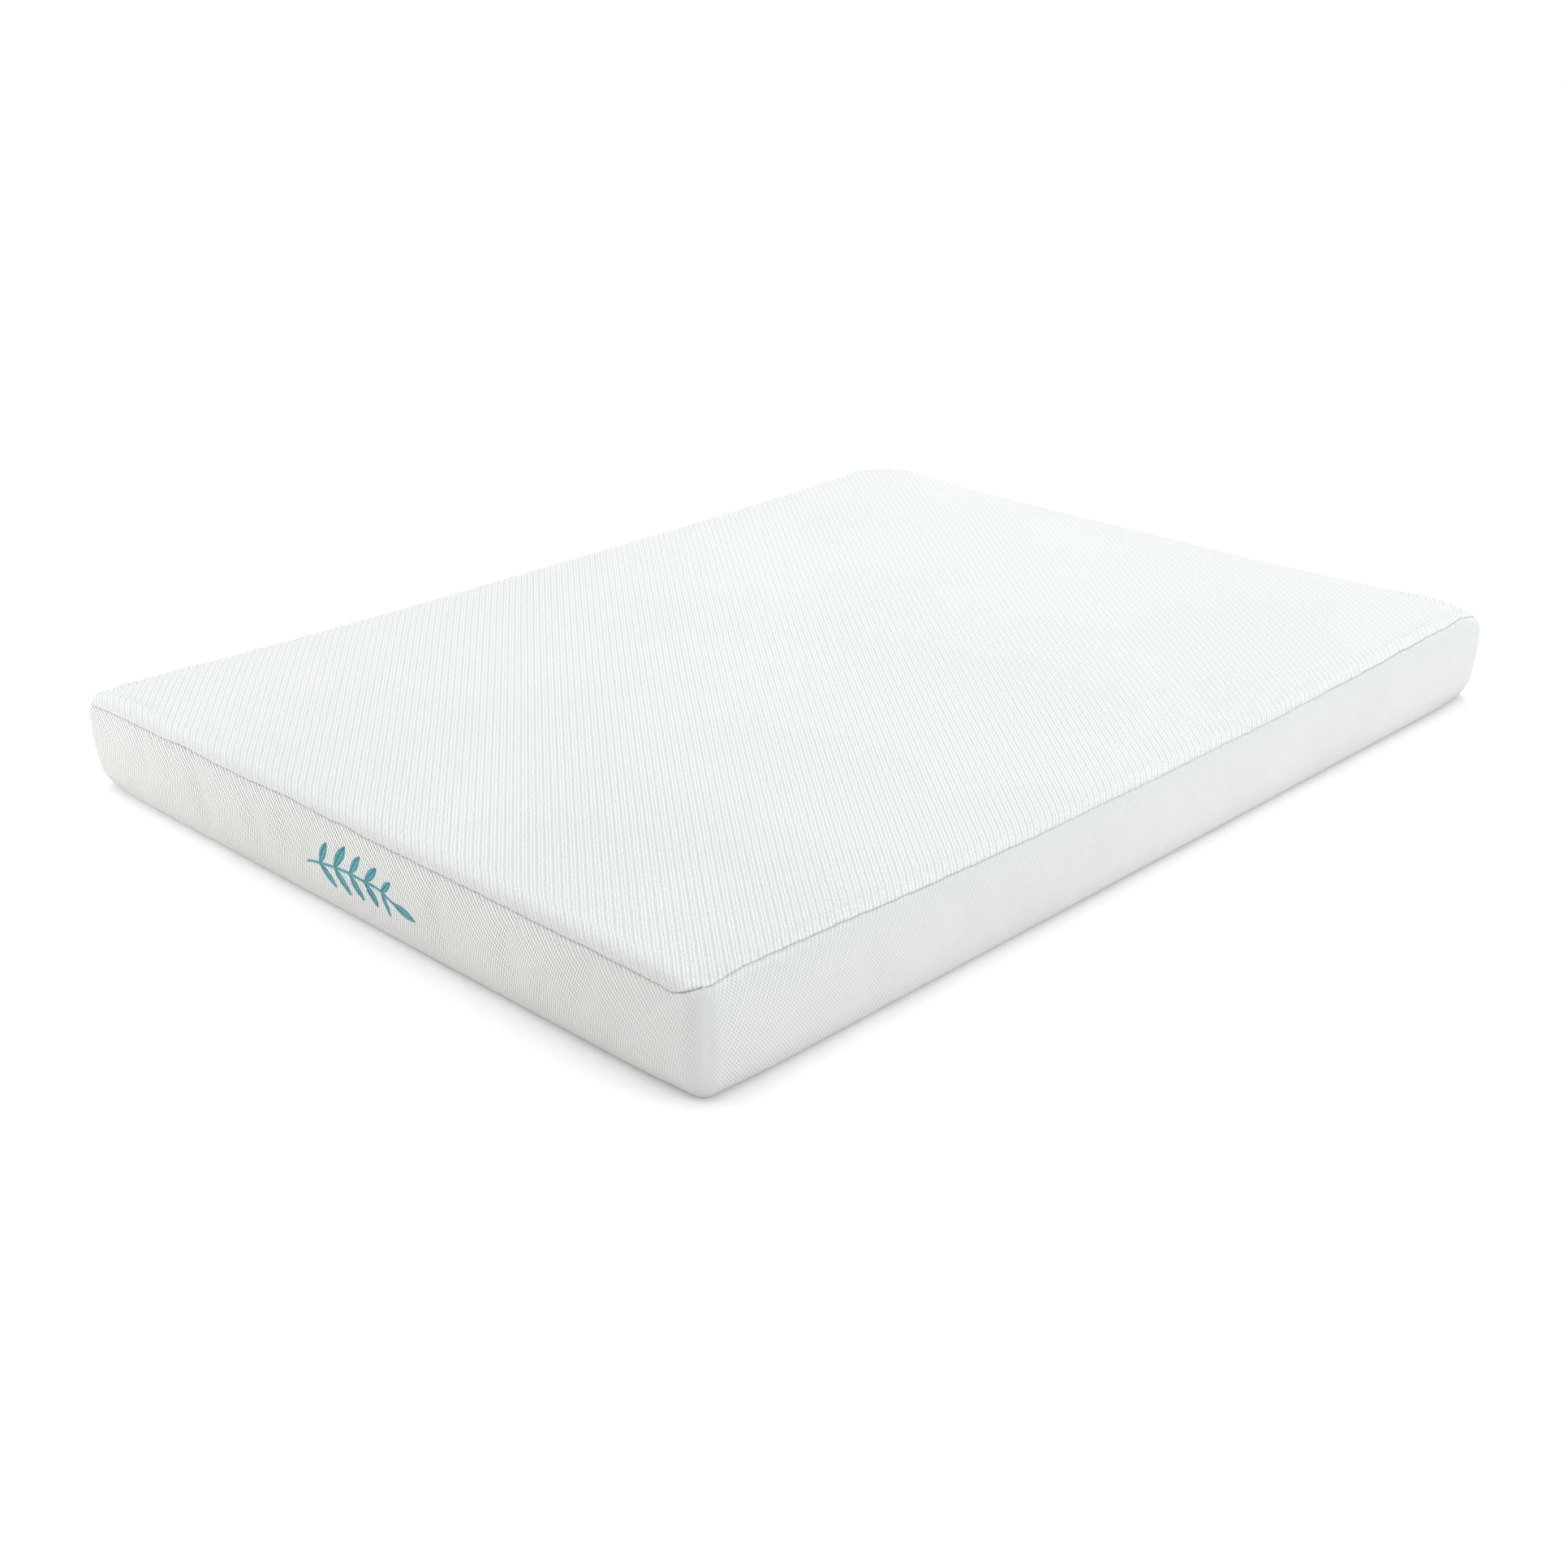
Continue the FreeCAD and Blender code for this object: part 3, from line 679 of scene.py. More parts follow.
def knit_border(name, line_angle, line_period, dot_angle, dot_period, tint, relief, fade):
    """A close diamond mesh of knitted cells: raised rows, crossed by shorter stitches, with the hollows
    between them painted darker as shade. relief gives how open the mesh is at places along the strip, and
    fade the ends of the plain band at a corner.
    tint is how strongly the strip just under the top seam is painted with a mint colour cast of reflected
    light in its shaded band.
    """
    p = Paint(name, Roughness=0.88, Sheen_Weight=0.10, Sheen_Roughness=0.5, Specular_IOR_Level=0.22)
    flat = p.cloth()
    split = p.tree.nodes.new("ShaderNodeSeparateXYZ")
    p.put(split.inputs[0], flat)
    along, down = split.outputs[0], split.outputs[1]
    warped = p.shifted(flat, p.noise(flat, 30.0, 2.0, out=1), 0.0011)
    lines = p.wave(warped, line_angle, line_period)
    slow = p.wave(warped, line_angle, 2 * line_period)
    dots = p.wave(warped, dot_angle, dot_period)
    grain = p.noise(warped, 520.0, 2.0, 0.6)
    surface = p.add(p.times(lines, 0.80), p.times(slow, 0.12), p.times(dots, 0.80),
                    p.times(p.math("SUBTRACT", grain, 0.5), 0.6))
    yarns = p.add(p.times(p.wave(warped, line_angle + 45, YARN_PITCH), 0.5),
                  p.times(p.wave(warped, line_angle - 45, YARN_PITCH * 1.3), 0.5))
    (start, first), (middle, second), (end, third) = relief
    open_mesh = p.add(p.span(along, start, middle, first, second),
                      p.span(along, middle, end, 0.0, third - second))
    open_mesh = p.times(open_mesh, p.span(along, *fade, 0.12, 1.0))
    height = p.span(p.add(p.times(surface, open_mesh), p.times(yarns, YARN_SHARE)), -0.55, 0.55)
    patches = p.span(p.noise(flat, 4.0, 3.0), 0.35, 0.65)
    # painted shade: the mesh's hollows are coloured much darker than its raised rows, standing for the shade
    # that falls in them
    low = p.mix(patches, (0.318, 0.318, 0.306), (0.342, 0.342, 0.33))
    high = p.mix(patches, (0.865, 0.865, 0.844), (0.884, 0.884, 0.863))
    colour = p.mix(height, low, high)
    # painted reflected light: a mint colour cast in the shaded band just under the top seam, as strong as
    # tint says
    upper = p.span(down, -0.065, -0.012)
    painted_mint_cast = p.mix(height, (0.318, 0.352, 0.336), (0.827, 0.867, 0.846))
    colour = p.mix(p.times(upper, tint), colour, painted_mint_cast)
    relief = p.add(height, p.times(p.noise(flat, FUZZ_SCALE, 1.0), FUZZ))
    return p.finish(colour, relief, 0.0006, 0.8)


def bottom_fabric():
    """Plain non-slip base cloth with small raised grip dots."""
    p = Paint("bottom_fabric", Roughness=0.9, Specular_IOR_Level=0.2)
    flat = p.cloth()
    row = p.wave(flat, 45.0, 0.009)
    other = p.wave(flat, -45.0, 0.009)
    dots = p.span(p.add(row, other), 1.1, 1.5)
    grain = p.noise(flat, 900.0, 3.0)
    colour = p.mix(dots, p.mix(grain, (0.62, 0.62, 0.61), (0.78, 0.78, 0.77)), (0.82, 0.83, 0.83))
    return p.finish(colour, p.add(dots, p.times(grain, 0.4)), 0.0005)


def foam(name, colour, dark, cell):
    """Open-cell foam: a field of small pores with a slightly uneven skin."""
    p = Paint(name, Roughness=0.95, Specular_IOR_Level=0.15)
    at = p.place()
    cells = p.node("TexVoronoi", {"Vector": at, "Scale": cell, "Randomness": 1.0})
    slow = p.noise(at, 9.0, 3.0)
    body = p.mix(p.span(cells, 0.15, 0.75), colour, dark)
    return p.finish(p.mix(p.span(slow, 0.3, 0.7, 0.0, 0.2), body, colour), cells, 0.0008, 0.7)


def sock_knit():
    """Thin rib-knitted fire sock."""
    p = Paint("fire_sock", Roughness=0.92, Specular_IOR_Level=0.2)
    at = p.cloth()
    ribs = p.wave(at, 0.0, 0.0022)
    loops = p.wave(at, 90.0, 0.0016)
    height = p.span(p.add(ribs, p.times(loops, 0.5)), -1.4, 1.4)
    return p.finish(p.mix(height, (0.62, 0.61, 0.57), (0.80, 0.79, 0.75)), height, 0.0004)


def thread(name, dark, light, gloss=0.45, twist=900.0):
    """Sewing or embroidery thread, twisted, with a soft shine."""
    p = Paint(name, Roughness=gloss, Sheen_Weight=0.2, Specular_IOR_Level=0.5)
    at = p.place()
    ply = p.noise(at, twist, 2.0, 0.6)
    lots = p.noise(at, 160.0, 2.0)
    share = p.span(p.add(p.times(ply, 0.6), p.times(lots, 0.4)), 0.35, 0.65)
    return p.finish(p.mix(share, dark, light), ply, 0.0002, 0.6)


HERRINGBONE = 5200.0


def tape_weave():
    """The zip tape's close herringbone weave."""
    p = Paint("zip_tape", Roughness=0.75, Specular_IOR_Level=0.3, Sheen_Weight=0.1)
    at = p.place()
    along, back = (
        p.node("VectorMath", {0: at, 1: (HERRINGBONE, HERRINGBONE, way * HERRINGBONE)},
               operation="DOT_PRODUCT", out=1)
        for way in (1, -1)
    )
    height = p.span(p.add(p.math("COSINE", along), p.math("COSINE", back)), -2.0, 2.0)
    grain = p.noise(at, 700.0, 2.0)
    share = p.add(p.times(height, 0.6), p.times(grain, 0.4))
    return p.finish(p.mix(share, (0.60, 0.61, 0.60), (0.82, 0.83, 0.82)), height, 0.00012)


def nylon():
    """The coil's pale, slightly shiny monofilament."""
    p = Paint("zip_coil", Roughness=0.32, Specular_IOR_Level=0.55, Subsurface_Weight=0.05)
    at = p.place()
    grain = p.noise(at, 400.0, 2.0)
    return p.finish(p.mix(grain, (0.66, 0.68, 0.67), (0.84, 0.85, 0.84)), grain, 0.0001, 0.4)


def zip_metal():
    """Nickel-plated zinc, brushed and slightly worn at its edges."""
    p = Paint("zip_metal", Metallic=1.0, Specular_IOR_Level=0.5)
    at = p.place()
    brushed = p.noise(p.scaled(at, 300.0, 2500.0, 300.0), 1.0, 3.0, 0.6)
    pointiness = p.node("NewGeometry", out=7)
    worn = p.span(pointiness, 0.50, 0.56)
    colour = p.mix(brushed, (0.50, 0.51, 0.52), (0.66, 0.67, 0.68))
    p.put(p.shader.inputs["Roughness"], p.span(brushed, 0.3, 0.7, 0.24, 0.42))
    return p.finish(p.mix(worn, colour, (0.78, 0.78, 0.77)), brushed, 0.00005, 0.5)


def label_satin():
    """Woven satin ribbon for the blank care label."""
    p = Paint("label_satin", Roughness=0.42, Specular_IOR_Level=0.5, Sheen_Weight=0.2)
    at = p.cloth()
    warp = p.wave(at, 90.0, 0.0006)
    weft = p.wave(at, 0.0, 0.0011)
    height = p.span(p.add(warp, p.times(weft, 0.5)), -1.5, 1.5)
    slow = p.noise(at, 60.0, 2.0)
    colour = p.mix(height, (0.74, 0.75, 0.75), (0.88, 0.89, 0.89))
    return p.finish(p.mix(p.times(slow, 0.25), colour, (0.70, 0.71, 0.71)), height, 0.0001)


def fleece():
    """Soft non-woven backing behind the embroidery."""
    p = Paint("backing_fleece", Roughness=0.95, Specular_IOR_Level=0.15)
    at = p.place()
    fibres = p.noise(at, 350.0, 4.0, 0.7)
    return p.finish(p.mix(fibres, (0.60, 0.60, 0.59), (0.84, 0.84, 0.83)), fibres, 0.0006)


# --- Stage, light and camera -------------------------------------------------------------------------

CAMERA_AZIMUTH = math.radians(44.4735)
CAMERA_ELEVATION = math.radians(23.6714)
CAMERA_ROLL = -0.0069
CAMERA_LENS = 49.04
CAMERA_PLACE = (2.46863, -2.59874, 1.48096)


def set_camera():
    """The camera, turned round the mattress from the foot, raised and slightly rolled."""
    data = bpy.data.cameras.new("camera")
    data.lens = CAMERA_LENS
    data.sensor_width = 36.0
    data.clip_start = 0.05
    data.clip_end = 60.0
    camera = bpy.data.objects.new("camera", data)
    bpy.context.scene.collection.objects.link(camera)
    a, e = CAMERA_AZIMUTH, CAMERA_ELEVATION
    back = Vector((math.sin(a) * math.cos(e), -math.cos(a) * math.cos(e), math.sin(e)))
    right = (-back).cross(Vector((0, 0, 1))).normalized()
    up = right.cross(-back)
    x = right * math.cos(CAMERA_ROLL) + up * math.sin(CAMERA_ROLL)
    y = up * math.cos(CAMERA_ROLL) - right * math.sin(CAMERA_ROLL)
    camera.matrix_world = Matrix.Translation(CAMERA_PLACE) @ Matrix((x, y, back)).transposed().to_4x4()
    bpy.context.scene.camera = camera


# Each lamp's name, place, size, power and colour
LAMPS = (
    ("overhead", (-0.5, 1.6, 3.0), 2.0, 40.0, (1.0, 1.0, 1.0)),
    ("left", (-1.8, -2.4, 0.8), 1.0, 19.0, (1.0, 1.0, 1.0)),
    ("right", (4.2, 0.9, 1.3), 2.4, 52.0, (0.94, 0.955, 1.0)),
)
LAMP_AIM = (0, 0, 0.1)

# The sky's brightness straight up, and its share of it at the sine of an elevation
ZENITH_LIGHT = 2.2
SKY = ((0.001, 0.475), (0.30, 0.475), (0.40, 0.06), (0.60, 0.20), (0.999, 1.0))
FLOOR_SIZE = 120.0


def soft_light(name, place, size, power, colour):
    """A large square lamp that faces the mattress."""
    data = bpy.data.lights.new(name, "AREA")
    data.size = size
    data.energy = power
    data.color = colour
    lamp = bpy.data.objects.new(name, data)
    lamp.location = place
    lamp.rotation_mode = "QUATERNION"
    lamp.rotation_quaternion = (Vector(LAMP_AIM) - Vector(place)).to_track_quat("-Z", "Y")
    bpy.context.scene.collection.objects.link(lamp)


def set_sky():
    """A sky that is bright straight up and at the horizon, and dim between."""
    world = bpy.data.worlds.new("studio")
    bpy.context.scene.world = world
    world.use_nodes = True
    tree = world.node_tree
    back = tree.nodes["Background"]
    back.inputs["Strength"].default_value = ZENITH_LIGHT
    where = tree.nodes.new("ShaderNodeTexCoord")
    split = tree.nodes.new("ShaderNodeSeparateXYZ")
    rise = tree.nodes.new("ShaderNodeValToRGB")
    for place, share in SKY:
        stop = rise.color_ramp.elements.new(place)
        stop.color = (share, share, share, 1.0)
    rise.color_ramp.elements.remove(rise.color_ramp.elements[0])
    rise.color_ramp.elements.remove(rise.color_ramp.elements[-1])
    tree.links.new(where.outputs["Generated"], split.inputs[0])
    tree.links.new(split.outputs["Z"], rise.inputs[0])
    tree.links.new(rise.outputs[0], back.inputs["Color"])


def set_stage():
    """The sky, the lamps and a pale floor."""
    bpy.context.scene.view_settings.view_transform = "Standard"
    set_sky()
    for lamp in LAMPS:
        soft_light(*lamp)
    paint = Paint("floor", Roughness=0.9, Specular_IOR_Level=0.0)
    speck = paint.noise(paint.place(), 3.0, 3.0)
    colour = paint.mix(speck, (0.93, 0.93, 0.93), (0.95, 0.95, 0.95))
    paint.put(paint.shader.inputs["Base Color"], colour)
    size = FLOOR_SIZE / 2
    corners = [(-size, -size, 0), (size, -size, 0), (size, size, 0), (-size, size, 0)]
    floor = new_object("floor", corners, [[0, 1, 2, 3]], material=paint.material)


# --- The pieces of the cover -------------------------------------------------------------------------

# Distance from the seam and depth of the turned-in edge and of the fabric beside it
TURNED_EDGE = ((0.0003, 0.0042), (0.0003, 0.0022), (0.0005, 0.0009), (0.0013, 0.0002))
NEAR_SEAM = 0.003
TOP_ROWS = (0.0022, 0.0042, 0.0068, 0.0102, 0.0145, 0.0195)
TOP_COARSE_ROWS = (0.0255, 0.033)

# Rows follow the seam less and less up to the first distance from it. The core line is at the second.
TOP_STRAIGHTENS = 0.045
TOP_CORE = 0.0408

# How far the top panel stands out beside its seam, and how far the border is drawn in there
LIP = {"foot": 0.0014, "right": 0.0005, "head": 0.0012, "left": 0.0010}
LIP_REACH = 0.0035
RECESS = {"foot": 0.0018, "right": 0.0006, "head": 0.0016, "left": 0.0014}
RECESS_REACH = 0.007

# The crease at a corner seam: its two depths and widths, and its share at the corner where it is soft
CREASE = ((0.0013, 0.0025), (0.0008, 0.010))
SOFT_CREASE = {("foot", 1): 0.12, ("right", -1): 0.12}


def seam_gap(side, run):
    """How wide the top seam's groove is: on the right side it all but closes towards the foot."""
    if side != "right":
        return 1.0
    return 0.10 + 0.25 * smooth((run + STRAIGHT[side]) / 1.2)


def finish_piece(obj, slot, *nodes, body="mattress"):
    """The piece rides on a body and stands for CAD nodes, which it hides. slot is not used."""
    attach(obj, body)
    if nodes:
        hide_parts(*nodes)


def top_panel(material):
    """The ribbed top panel, with its turned-in edge all round."""
    def row(away, depth):
        share = smooth(away / TOP_STRAIGHTENS)
        def place(side, run):
            q = seam_q(side, run) * (1 - share) + away + (CORE_Q - TOP_CORE) * share
            q = q - away * (1 - seam_gap(side, run)) if away < NEAR_SEAM else q
            lip = LIP[side] * bell(away - LIP_REACH, LIP_REACH) * smooth(away / 0.001)
            sunk = depth - lip + pucker(side, run, away)
            return settle(cover(side, run, q, sunk)), unrolled(side, run, q)
        return place
    rows = [(1, row(away, depth)) for away, depth in TURNED_EDGE]
    rows += [(1, row(away, 0.0)) for away in TOP_ROWS]
    rows += [(2, row(away, 0.0)) for away in TOP_COARSE_ROWS]
    panel = tower("cover_top", rows, z_high=HEIGHT, material=material)
    finish_piece(thicken(panel, FABRIC), "knit_top", "cover_top_panel")


# The border's rows: distances below the seam, and the q where its evenly spaced rows start
BORDER_ROWS = (0.0022, 0.004, 0.0065, 0.010, 0.0145, 0.020, 0.0262)
BORDER_EVEN_Q = -0.034
ROW_STEP = 0.0052

# The folded edge of the zip's opening, as distance from the opening and depth, and its reach past the zip
SLOT_EDGE = ((0.0034, 0.0), (0.0014, 0.0), (0.0005, 0.0003), (0.0, 0.0012), (0.0, 0.0033))
SLOT_MARGIN = 0.006
SLOT_PAST_ZIP = 0.0024

# The border's lower edge, as distance above the bottom seam and depth
BOTTOM_EDGE = ((0.0004, 0.0004), (0.0, 0.0014), (0.0, 0.0034))
BOTTOM_MARGIN = 0.0015


def border_rows(side):
    """The strip's rows from the seam down: how far below the seam or at which q, and how deep."""
    rows = [("seam", away, depth) for away, depth in TURNED_EDGE]
    rows += [("seam", away, 0.0) for away in BORDER_ROWS]
    bottom = q_at(BOTTOM_SEAM_Z)
    marks = [BORDER_EVEN_Q, bottom + BOTTOM_MARGIN]
    if side in ZIP_RUN:
        high, low = q_at(SLOT_HIGH), q_at(SLOT_LOW)
        marks[1:1] = [high + SLOT_MARGIN, low - SLOT_MARGIN]
    for start, end in zip(marks[::2], marks[1::2]):
        count = max(2, round((start - end) / ROW_STEP) + 1)
        rows += [("q", q, 0.0) for q in np.linspace(start, end, count)]
        if side in ZIP_RUN and start == marks[0]:
            rows += [("slot", high + gap, depth) for gap, depth in SLOT_EDGE]
            rows += [("slot", low - gap, depth) for gap, depth in SLOT_EDGE[::-1]]
    return rows + [("q", bottom + gap, depth) for gap, depth in BOTTOM_EDGE]


def border_grid(side, rows, run, in_zip):
    """The strip's points and flat coordinates. Outside the zip, the opening's rows are spread evenly."""
    seam = seam_q(side, run)
    slots = [row[1] for row in rows if row[0] == "slot"]
    spread = iter(np.linspace(slots[0], slots[-1], len(slots)) if slots else ())
    gap = to_corner(side, run)
    share = np.where(run > 0, SOFT_CREASE.get((side, 1), 1.0), SOFT_CREASE.get((side, -1), 1.0))
    crease = share * sum(depth * bell(gap, width) for depth, width in CREASE)
    points, cloth = [], []
    for kind, place, depth in rows:
        if kind == "seam":
            place = place * (seam_gap(side, run) if place < NEAR_SEAM else 1)
            q = seam * (1 - smooth(place / -BORDER_EVEN_Q)) - place
            sunk = depth + RECESS[side] * np.exp(-place / RECESS_REACH) + pucker(side, run, place)
        elif kind == "slot":
            q = np.where(in_zip, place, next(spread))
            sunk = depth * in_zip
        else:
            q = np.full(len(run), place)
            sunk = np.full(len(run), depth)
        points.append(settle_border(side, run, q, sunk + crease))
        cloth.append(np.stack([run, q], -1))
    return np.stack(points, 1), np.stack(cloth, 1)


def border(side, material, name, skirt=None):
    """One strip of the border. Round the zip it has an opening, and the skirt under it is its own piece."""
    run = strip_runs(side)
    rows = border_rows(side)
    in_zip = np.zeros(len(run), bool)
    if side in ZIP_RUN:
        start, end = ZIP_RUN[side]
        in_zip = (run > start - SLOT_PAST_ZIP) & (run < end + SLOT_PAST_ZIP)
    points, cloth = border_grid(side, rows, run, in_zip)
    number = np.arange(points.shape[0] * points.shape[1]).reshape(points.shape[:2])
    quads = np.stack([number[:-1, 1:], number[1:, 1:], number[1:, :-1], number[:-1, :-1]], -1)
    whole = np.ones(quads.shape[:2], bool)
    below = np.zeros(quads.shape[:2], bool)
    if skirt:
        zip_cell = in_zip[:-1] & in_zip[1:]
        last_upper = [row[0] for row in rows].index("slot") + len(SLOT_EDGE) - 1
        whole[zip_cell, last_upper:] = False
        below[zip_cell, last_upper + 1:] = True
    made = cut_piece(name, points, cloth, quads[whole], material)
    finish_piece(thicken(made, FABRIC), "knit_border", "border_" + side)
    if skirt:
        made = cut_piece(skirt, points, cloth, quads[below], material)
        finish_piece(thicken(made, FABRIC), "knit_border", "zip_skirt_" + side)


def settle_border(side, run, q, sunk):
    """Border points moved with the simulation, except round the zip and at the bottom seam."""
    base = cover(side, run, q, sunk)
    free = (1 - near_zip(side, run, base[:, 2])) * smooth(base[:, 2] / 0.03)
    return base + (settle(base) - base) * free[:, None]


def cut_piece(name, points, cloth, quads, material):
    """A piece of a grid: only the vertices that its faces use."""
    used, faces = np.unique(quads, return_inverse=True)
    faces = faces.reshape(-1, 4).tolist()
    return new_object(name, points.reshape(-1, 3)[used], faces, cloth.reshape(-1, 2)[used], material)


TURNED_IN = 0.0034


def bottom_panel(material):
    """The base cloth, rolled over the bottom edge up to the bottom seam."""
    bottom = q_at(BOTTOM_SEAM_Z)
    low = -SIDE_LENGTH - ROLL_LENGTH
    spots = [(low + (bottom - low) * share, 0.0) for share in (-0.5, 0.0, 0.3, 0.6, 0.9)]
    spots += [(bottom, 0.0012), (bottom, TURNED_IN)]
    def row(q, depth):
        def place(side, run):
            spot = np.full(len(run), q)
            return cover(side, run, spot, depth), unrolled(side, run, -spot - SIDE_LENGTH)
        return place
    rows = [(INNER_STEP, row(q, depth)) for q, depth in spots]
    panel = tower("cover_bottom", rows, z_low=0.0, material=material)
    finish_piece(thicken(panel, BOTTOM_CLOTH), "bottom_fabric", "cover_bottom_panel")


# --- What the cover holds ----------------------------------------------------------------------------

# The depths under the cover, and the seam allowances' size
INNER_STEP = 4
SEAM_DEPTH = 0.0038
ALLOWANCE = 0.0016
ALLOWANCE_WIDTH = 0.009
OVERLOCK_PITCH = 0.012
SOCK_DEPTH = 0.0062
SOCK_THICKNESS = 0.001
FOAM_DEPTH = 0.0076
FOAM_CUT = 0.0012
FOAM_GAP = 0.0001


def inner_row(q, depth):
    """A loop at this q, this far under the cover."""
    def place(side, run):
        spot = np.full(len(run), float(q))
        return cover(side, run, spot, depth), np.stack([run, spot], -1)
    return INNER_STEP, place


def cut_row(z, depth):
    """A loop at exactly this height, this far inside the side."""
    def place(side, run):
        points = cover(side, run, np.full(len(run), q_at(z)), depth)
        points[:, 2] = z - dip(points[:, 0], points[:, 1]) * sunk_share(z)
        return points, np.stack([run, np.full(len(run), z)], -1)
    return INNER_STEP, place


def foam_layer(name, node, material):
    """A slab of foam with softly cut edges that follows the inside of the sock."""
    low, high = (corner.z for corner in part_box(node))
    if low < EDGE_RADIUS:
        rows = [inner_row(q, FOAM_DEPTH) for q in np.linspace(-SIDE_LENGTH - ROLL_LENGTH, -SIDE_LENGTH, 5)]
        start, z_low = EDGE_RADIUS, FOAM_DEPTH
    else:
        start, z_low = low + FOAM_CUT, low + FOAM_GAP
        rows = [cut_row(z_low, FOAM_DEPTH + FOAM_CUT), cut_row(start, FOAM_DEPTH)]
    if high > HEIGHT - EDGE_RADIUS:
        over = [inner_row(q, FOAM_DEPTH) for q in np.linspace(0, ROLL_LENGTH, 5)]
        end, z_high = HEIGHT - EDGE_RADIUS, HEIGHT - FOAM_DEPTH
    else:
        end, z_high = high - FOAM_CUT, high - FOAM_GAP
        over = [cut_row(end, FOAM_DEPTH), cut_row(z_high, FOAM_DEPTH + FOAM_CUT)]
    rows += [cut_row(z, FOAM_DEPTH) for z in np.linspace(start, end, 4)[1:-1]] + over
    made = tower(name, rows, z_low=z_low, z_high=z_high, material=material)
    finish_piece(made, node, node)


def fire_sock():
    """The thin knitted sock over the foams."""
    spots = list(np.linspace(-SIDE_LENGTH - ROLL_LENGTH, -SIDE_LENGTH, 5))
    spots += list(np.linspace(-SIDE_LENGTH, 0, 8)[1:-1]) + list(np.linspace(0, ROLL_LENGTH, 5))
    rows = [inner_row(q, SOCK_DEPTH) for q in spots]
    sock = tower("fire_sock", rows, z_low=SOCK_DEPTH, z_high=HEIGHT - SOCK_DEPTH, material=sock_knit())
    finish_piece(thicken(sock, SOCK_THICKNESS), "fire_sock", "fire_barrier_sock")


def seam_ribbon(name, node, q_low, q_high, material):
    """Overlocked allowances that lie against the inside of the cover, all round."""
    def row(q_of, depth):
        def place(side, run):
            q = q_of(side, run)
            bulge = 0.00025 * np.sin(2 * math.pi * run / OVERLOCK_PITCH)
            return cover(side, run, q, depth + bulge), np.stack([run, q], -1)
        return INNER_STEP, place
    near, far = SEAM_DEPTH, SEAM_DEPTH + ALLOWANCE
    def middle(side, run):
        return (q_low(side, run) + q_high(side, run)) / 2
    rows = [row(middle, near), row(q_low, near), row(q_low, far), row(middle, far + 0.0002),
            row(q_high, far), row(q_high, near), row(middle, near)]
    finish_piece(tower(name, rows, material=material), "overlock_thread", node)


def patch(name, side, runs, heights, depth, thickness, material, lift=None):
    """A closed piece of fabric that lies along the cover, depth under its surface."""
    run, z = np.meshgrid(runs, heights, indexing="ij")
    away = depth if lift is None else depth - lift(run, z)
    quads = grid_quads(np.arange(run.size).reshape(run.shape)).tolist()
    made = new_object(name, cover(side, run, q_at(z), away), quads, np.stack([run, z], -1), material)
    return thicken(made, thickness)


def corner_seams(material):
    """The overlocked allowances behind the four corner seams."""
    def lift(run, z):
        return 0.0002 * np.sin(2 * math.pi * z / OVERLOCK_PITCH)
    for side, label in zip(SIDES, ("foot_right", "head_right", "head_left", "foot_left")):
        node = "corner_seam_" + label
        low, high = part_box(node)
        runs = STRAIGHT[side] + QUARTER + np.linspace(-ALLOWANCE_WIDTH / 2, ALLOWANCE_WIDTH / 2, 9)
        heights = np.linspace(low.z, high.z - 0.004, 60)
        made = patch(node + "_overlock", side, runs, heights, SEAM_DEPTH + 0.0003, ALLOWANCE, material, lift)
        finish_piece(made, "overlock_thread", node)


# --- Threads -----------------------------------------------------------------------------------------

def threads(name, starts, ends, normals, rise, radius, material, sides=6):
    """Many short stitches in one mesh: each arches from its start to its end and sinks in at both."""
    starts, ends, normals = (np.asarray(a, float) for a in (starts, ends, normals))
    along = unit(ends - starts)
    across = unit(np.cross(along, normals))
    rings = 5
    t = np.linspace(0, 1, rings)
    arch = np.sin(math.pi * t)
    line = starts[:, None] + (ends - starts)[:, None] * t[:, None]
    line = line + normals[:, None] * (rise * arch - radius * 0.6 * (1 - arch))[:, None]
    thick = radius * (0.5 + 0.5 * arch)[:, None, None]
    turn = 2 * math.pi * np.arange(sides) / sides
    ring = across[:, None, None] * np.cos(turn)[:, None] + normals[:, None, None] * np.sin(turn)[:, None]
    points = line[:, :, None] + ring * thick
    count = rings * sides
    first = np.arange(len(starts))[:, None, None] * count
    i, k = np.meshgrid(np.arange(rings - 1), np.arange(sides), indexing="ij")
    after = (k + 1) % sides
    quad = np.stack([i * sides + k, i * sides + after, (i + 1) * sides + after, (i + 1) * sides + k], -1)
    quads = (first[..., None] + quad).reshape(-1, 4)[:, ::-1]
    caps = []
    for c in range(len(starts)):
        caps.append(list(range(c * count, c * count + sides)))
        caps.append(list(range((c + 1) * count - 1, (c + 1) * count - sides - 1, -1)))
    return new_object(name, points, quads.tolist() + caps, material=material)


def on_cover(side, run, z, lift=0.0, moved=True):
    """Points on the finished cover's side and the directions out of it."""
    q = q_at(z)
    base = cover(side, run, q, 0.0)
    if moved:
        free = 1 - near_zip(side, run, base[:, 2])
        base = base + (settle(base) - base) * free[:, None]
    step = 0.002
    a = cover(side, run + step, q, 0.0) - cover(side, run - step, q, 0.0)
    b = cover(side, run, q + step, 0.0) - cover(side, run, q - step, 0.0)
    normal = unit(np.cross(a, b))
    return base + normal * lift, normal


STITCH_DROP = 0.0022


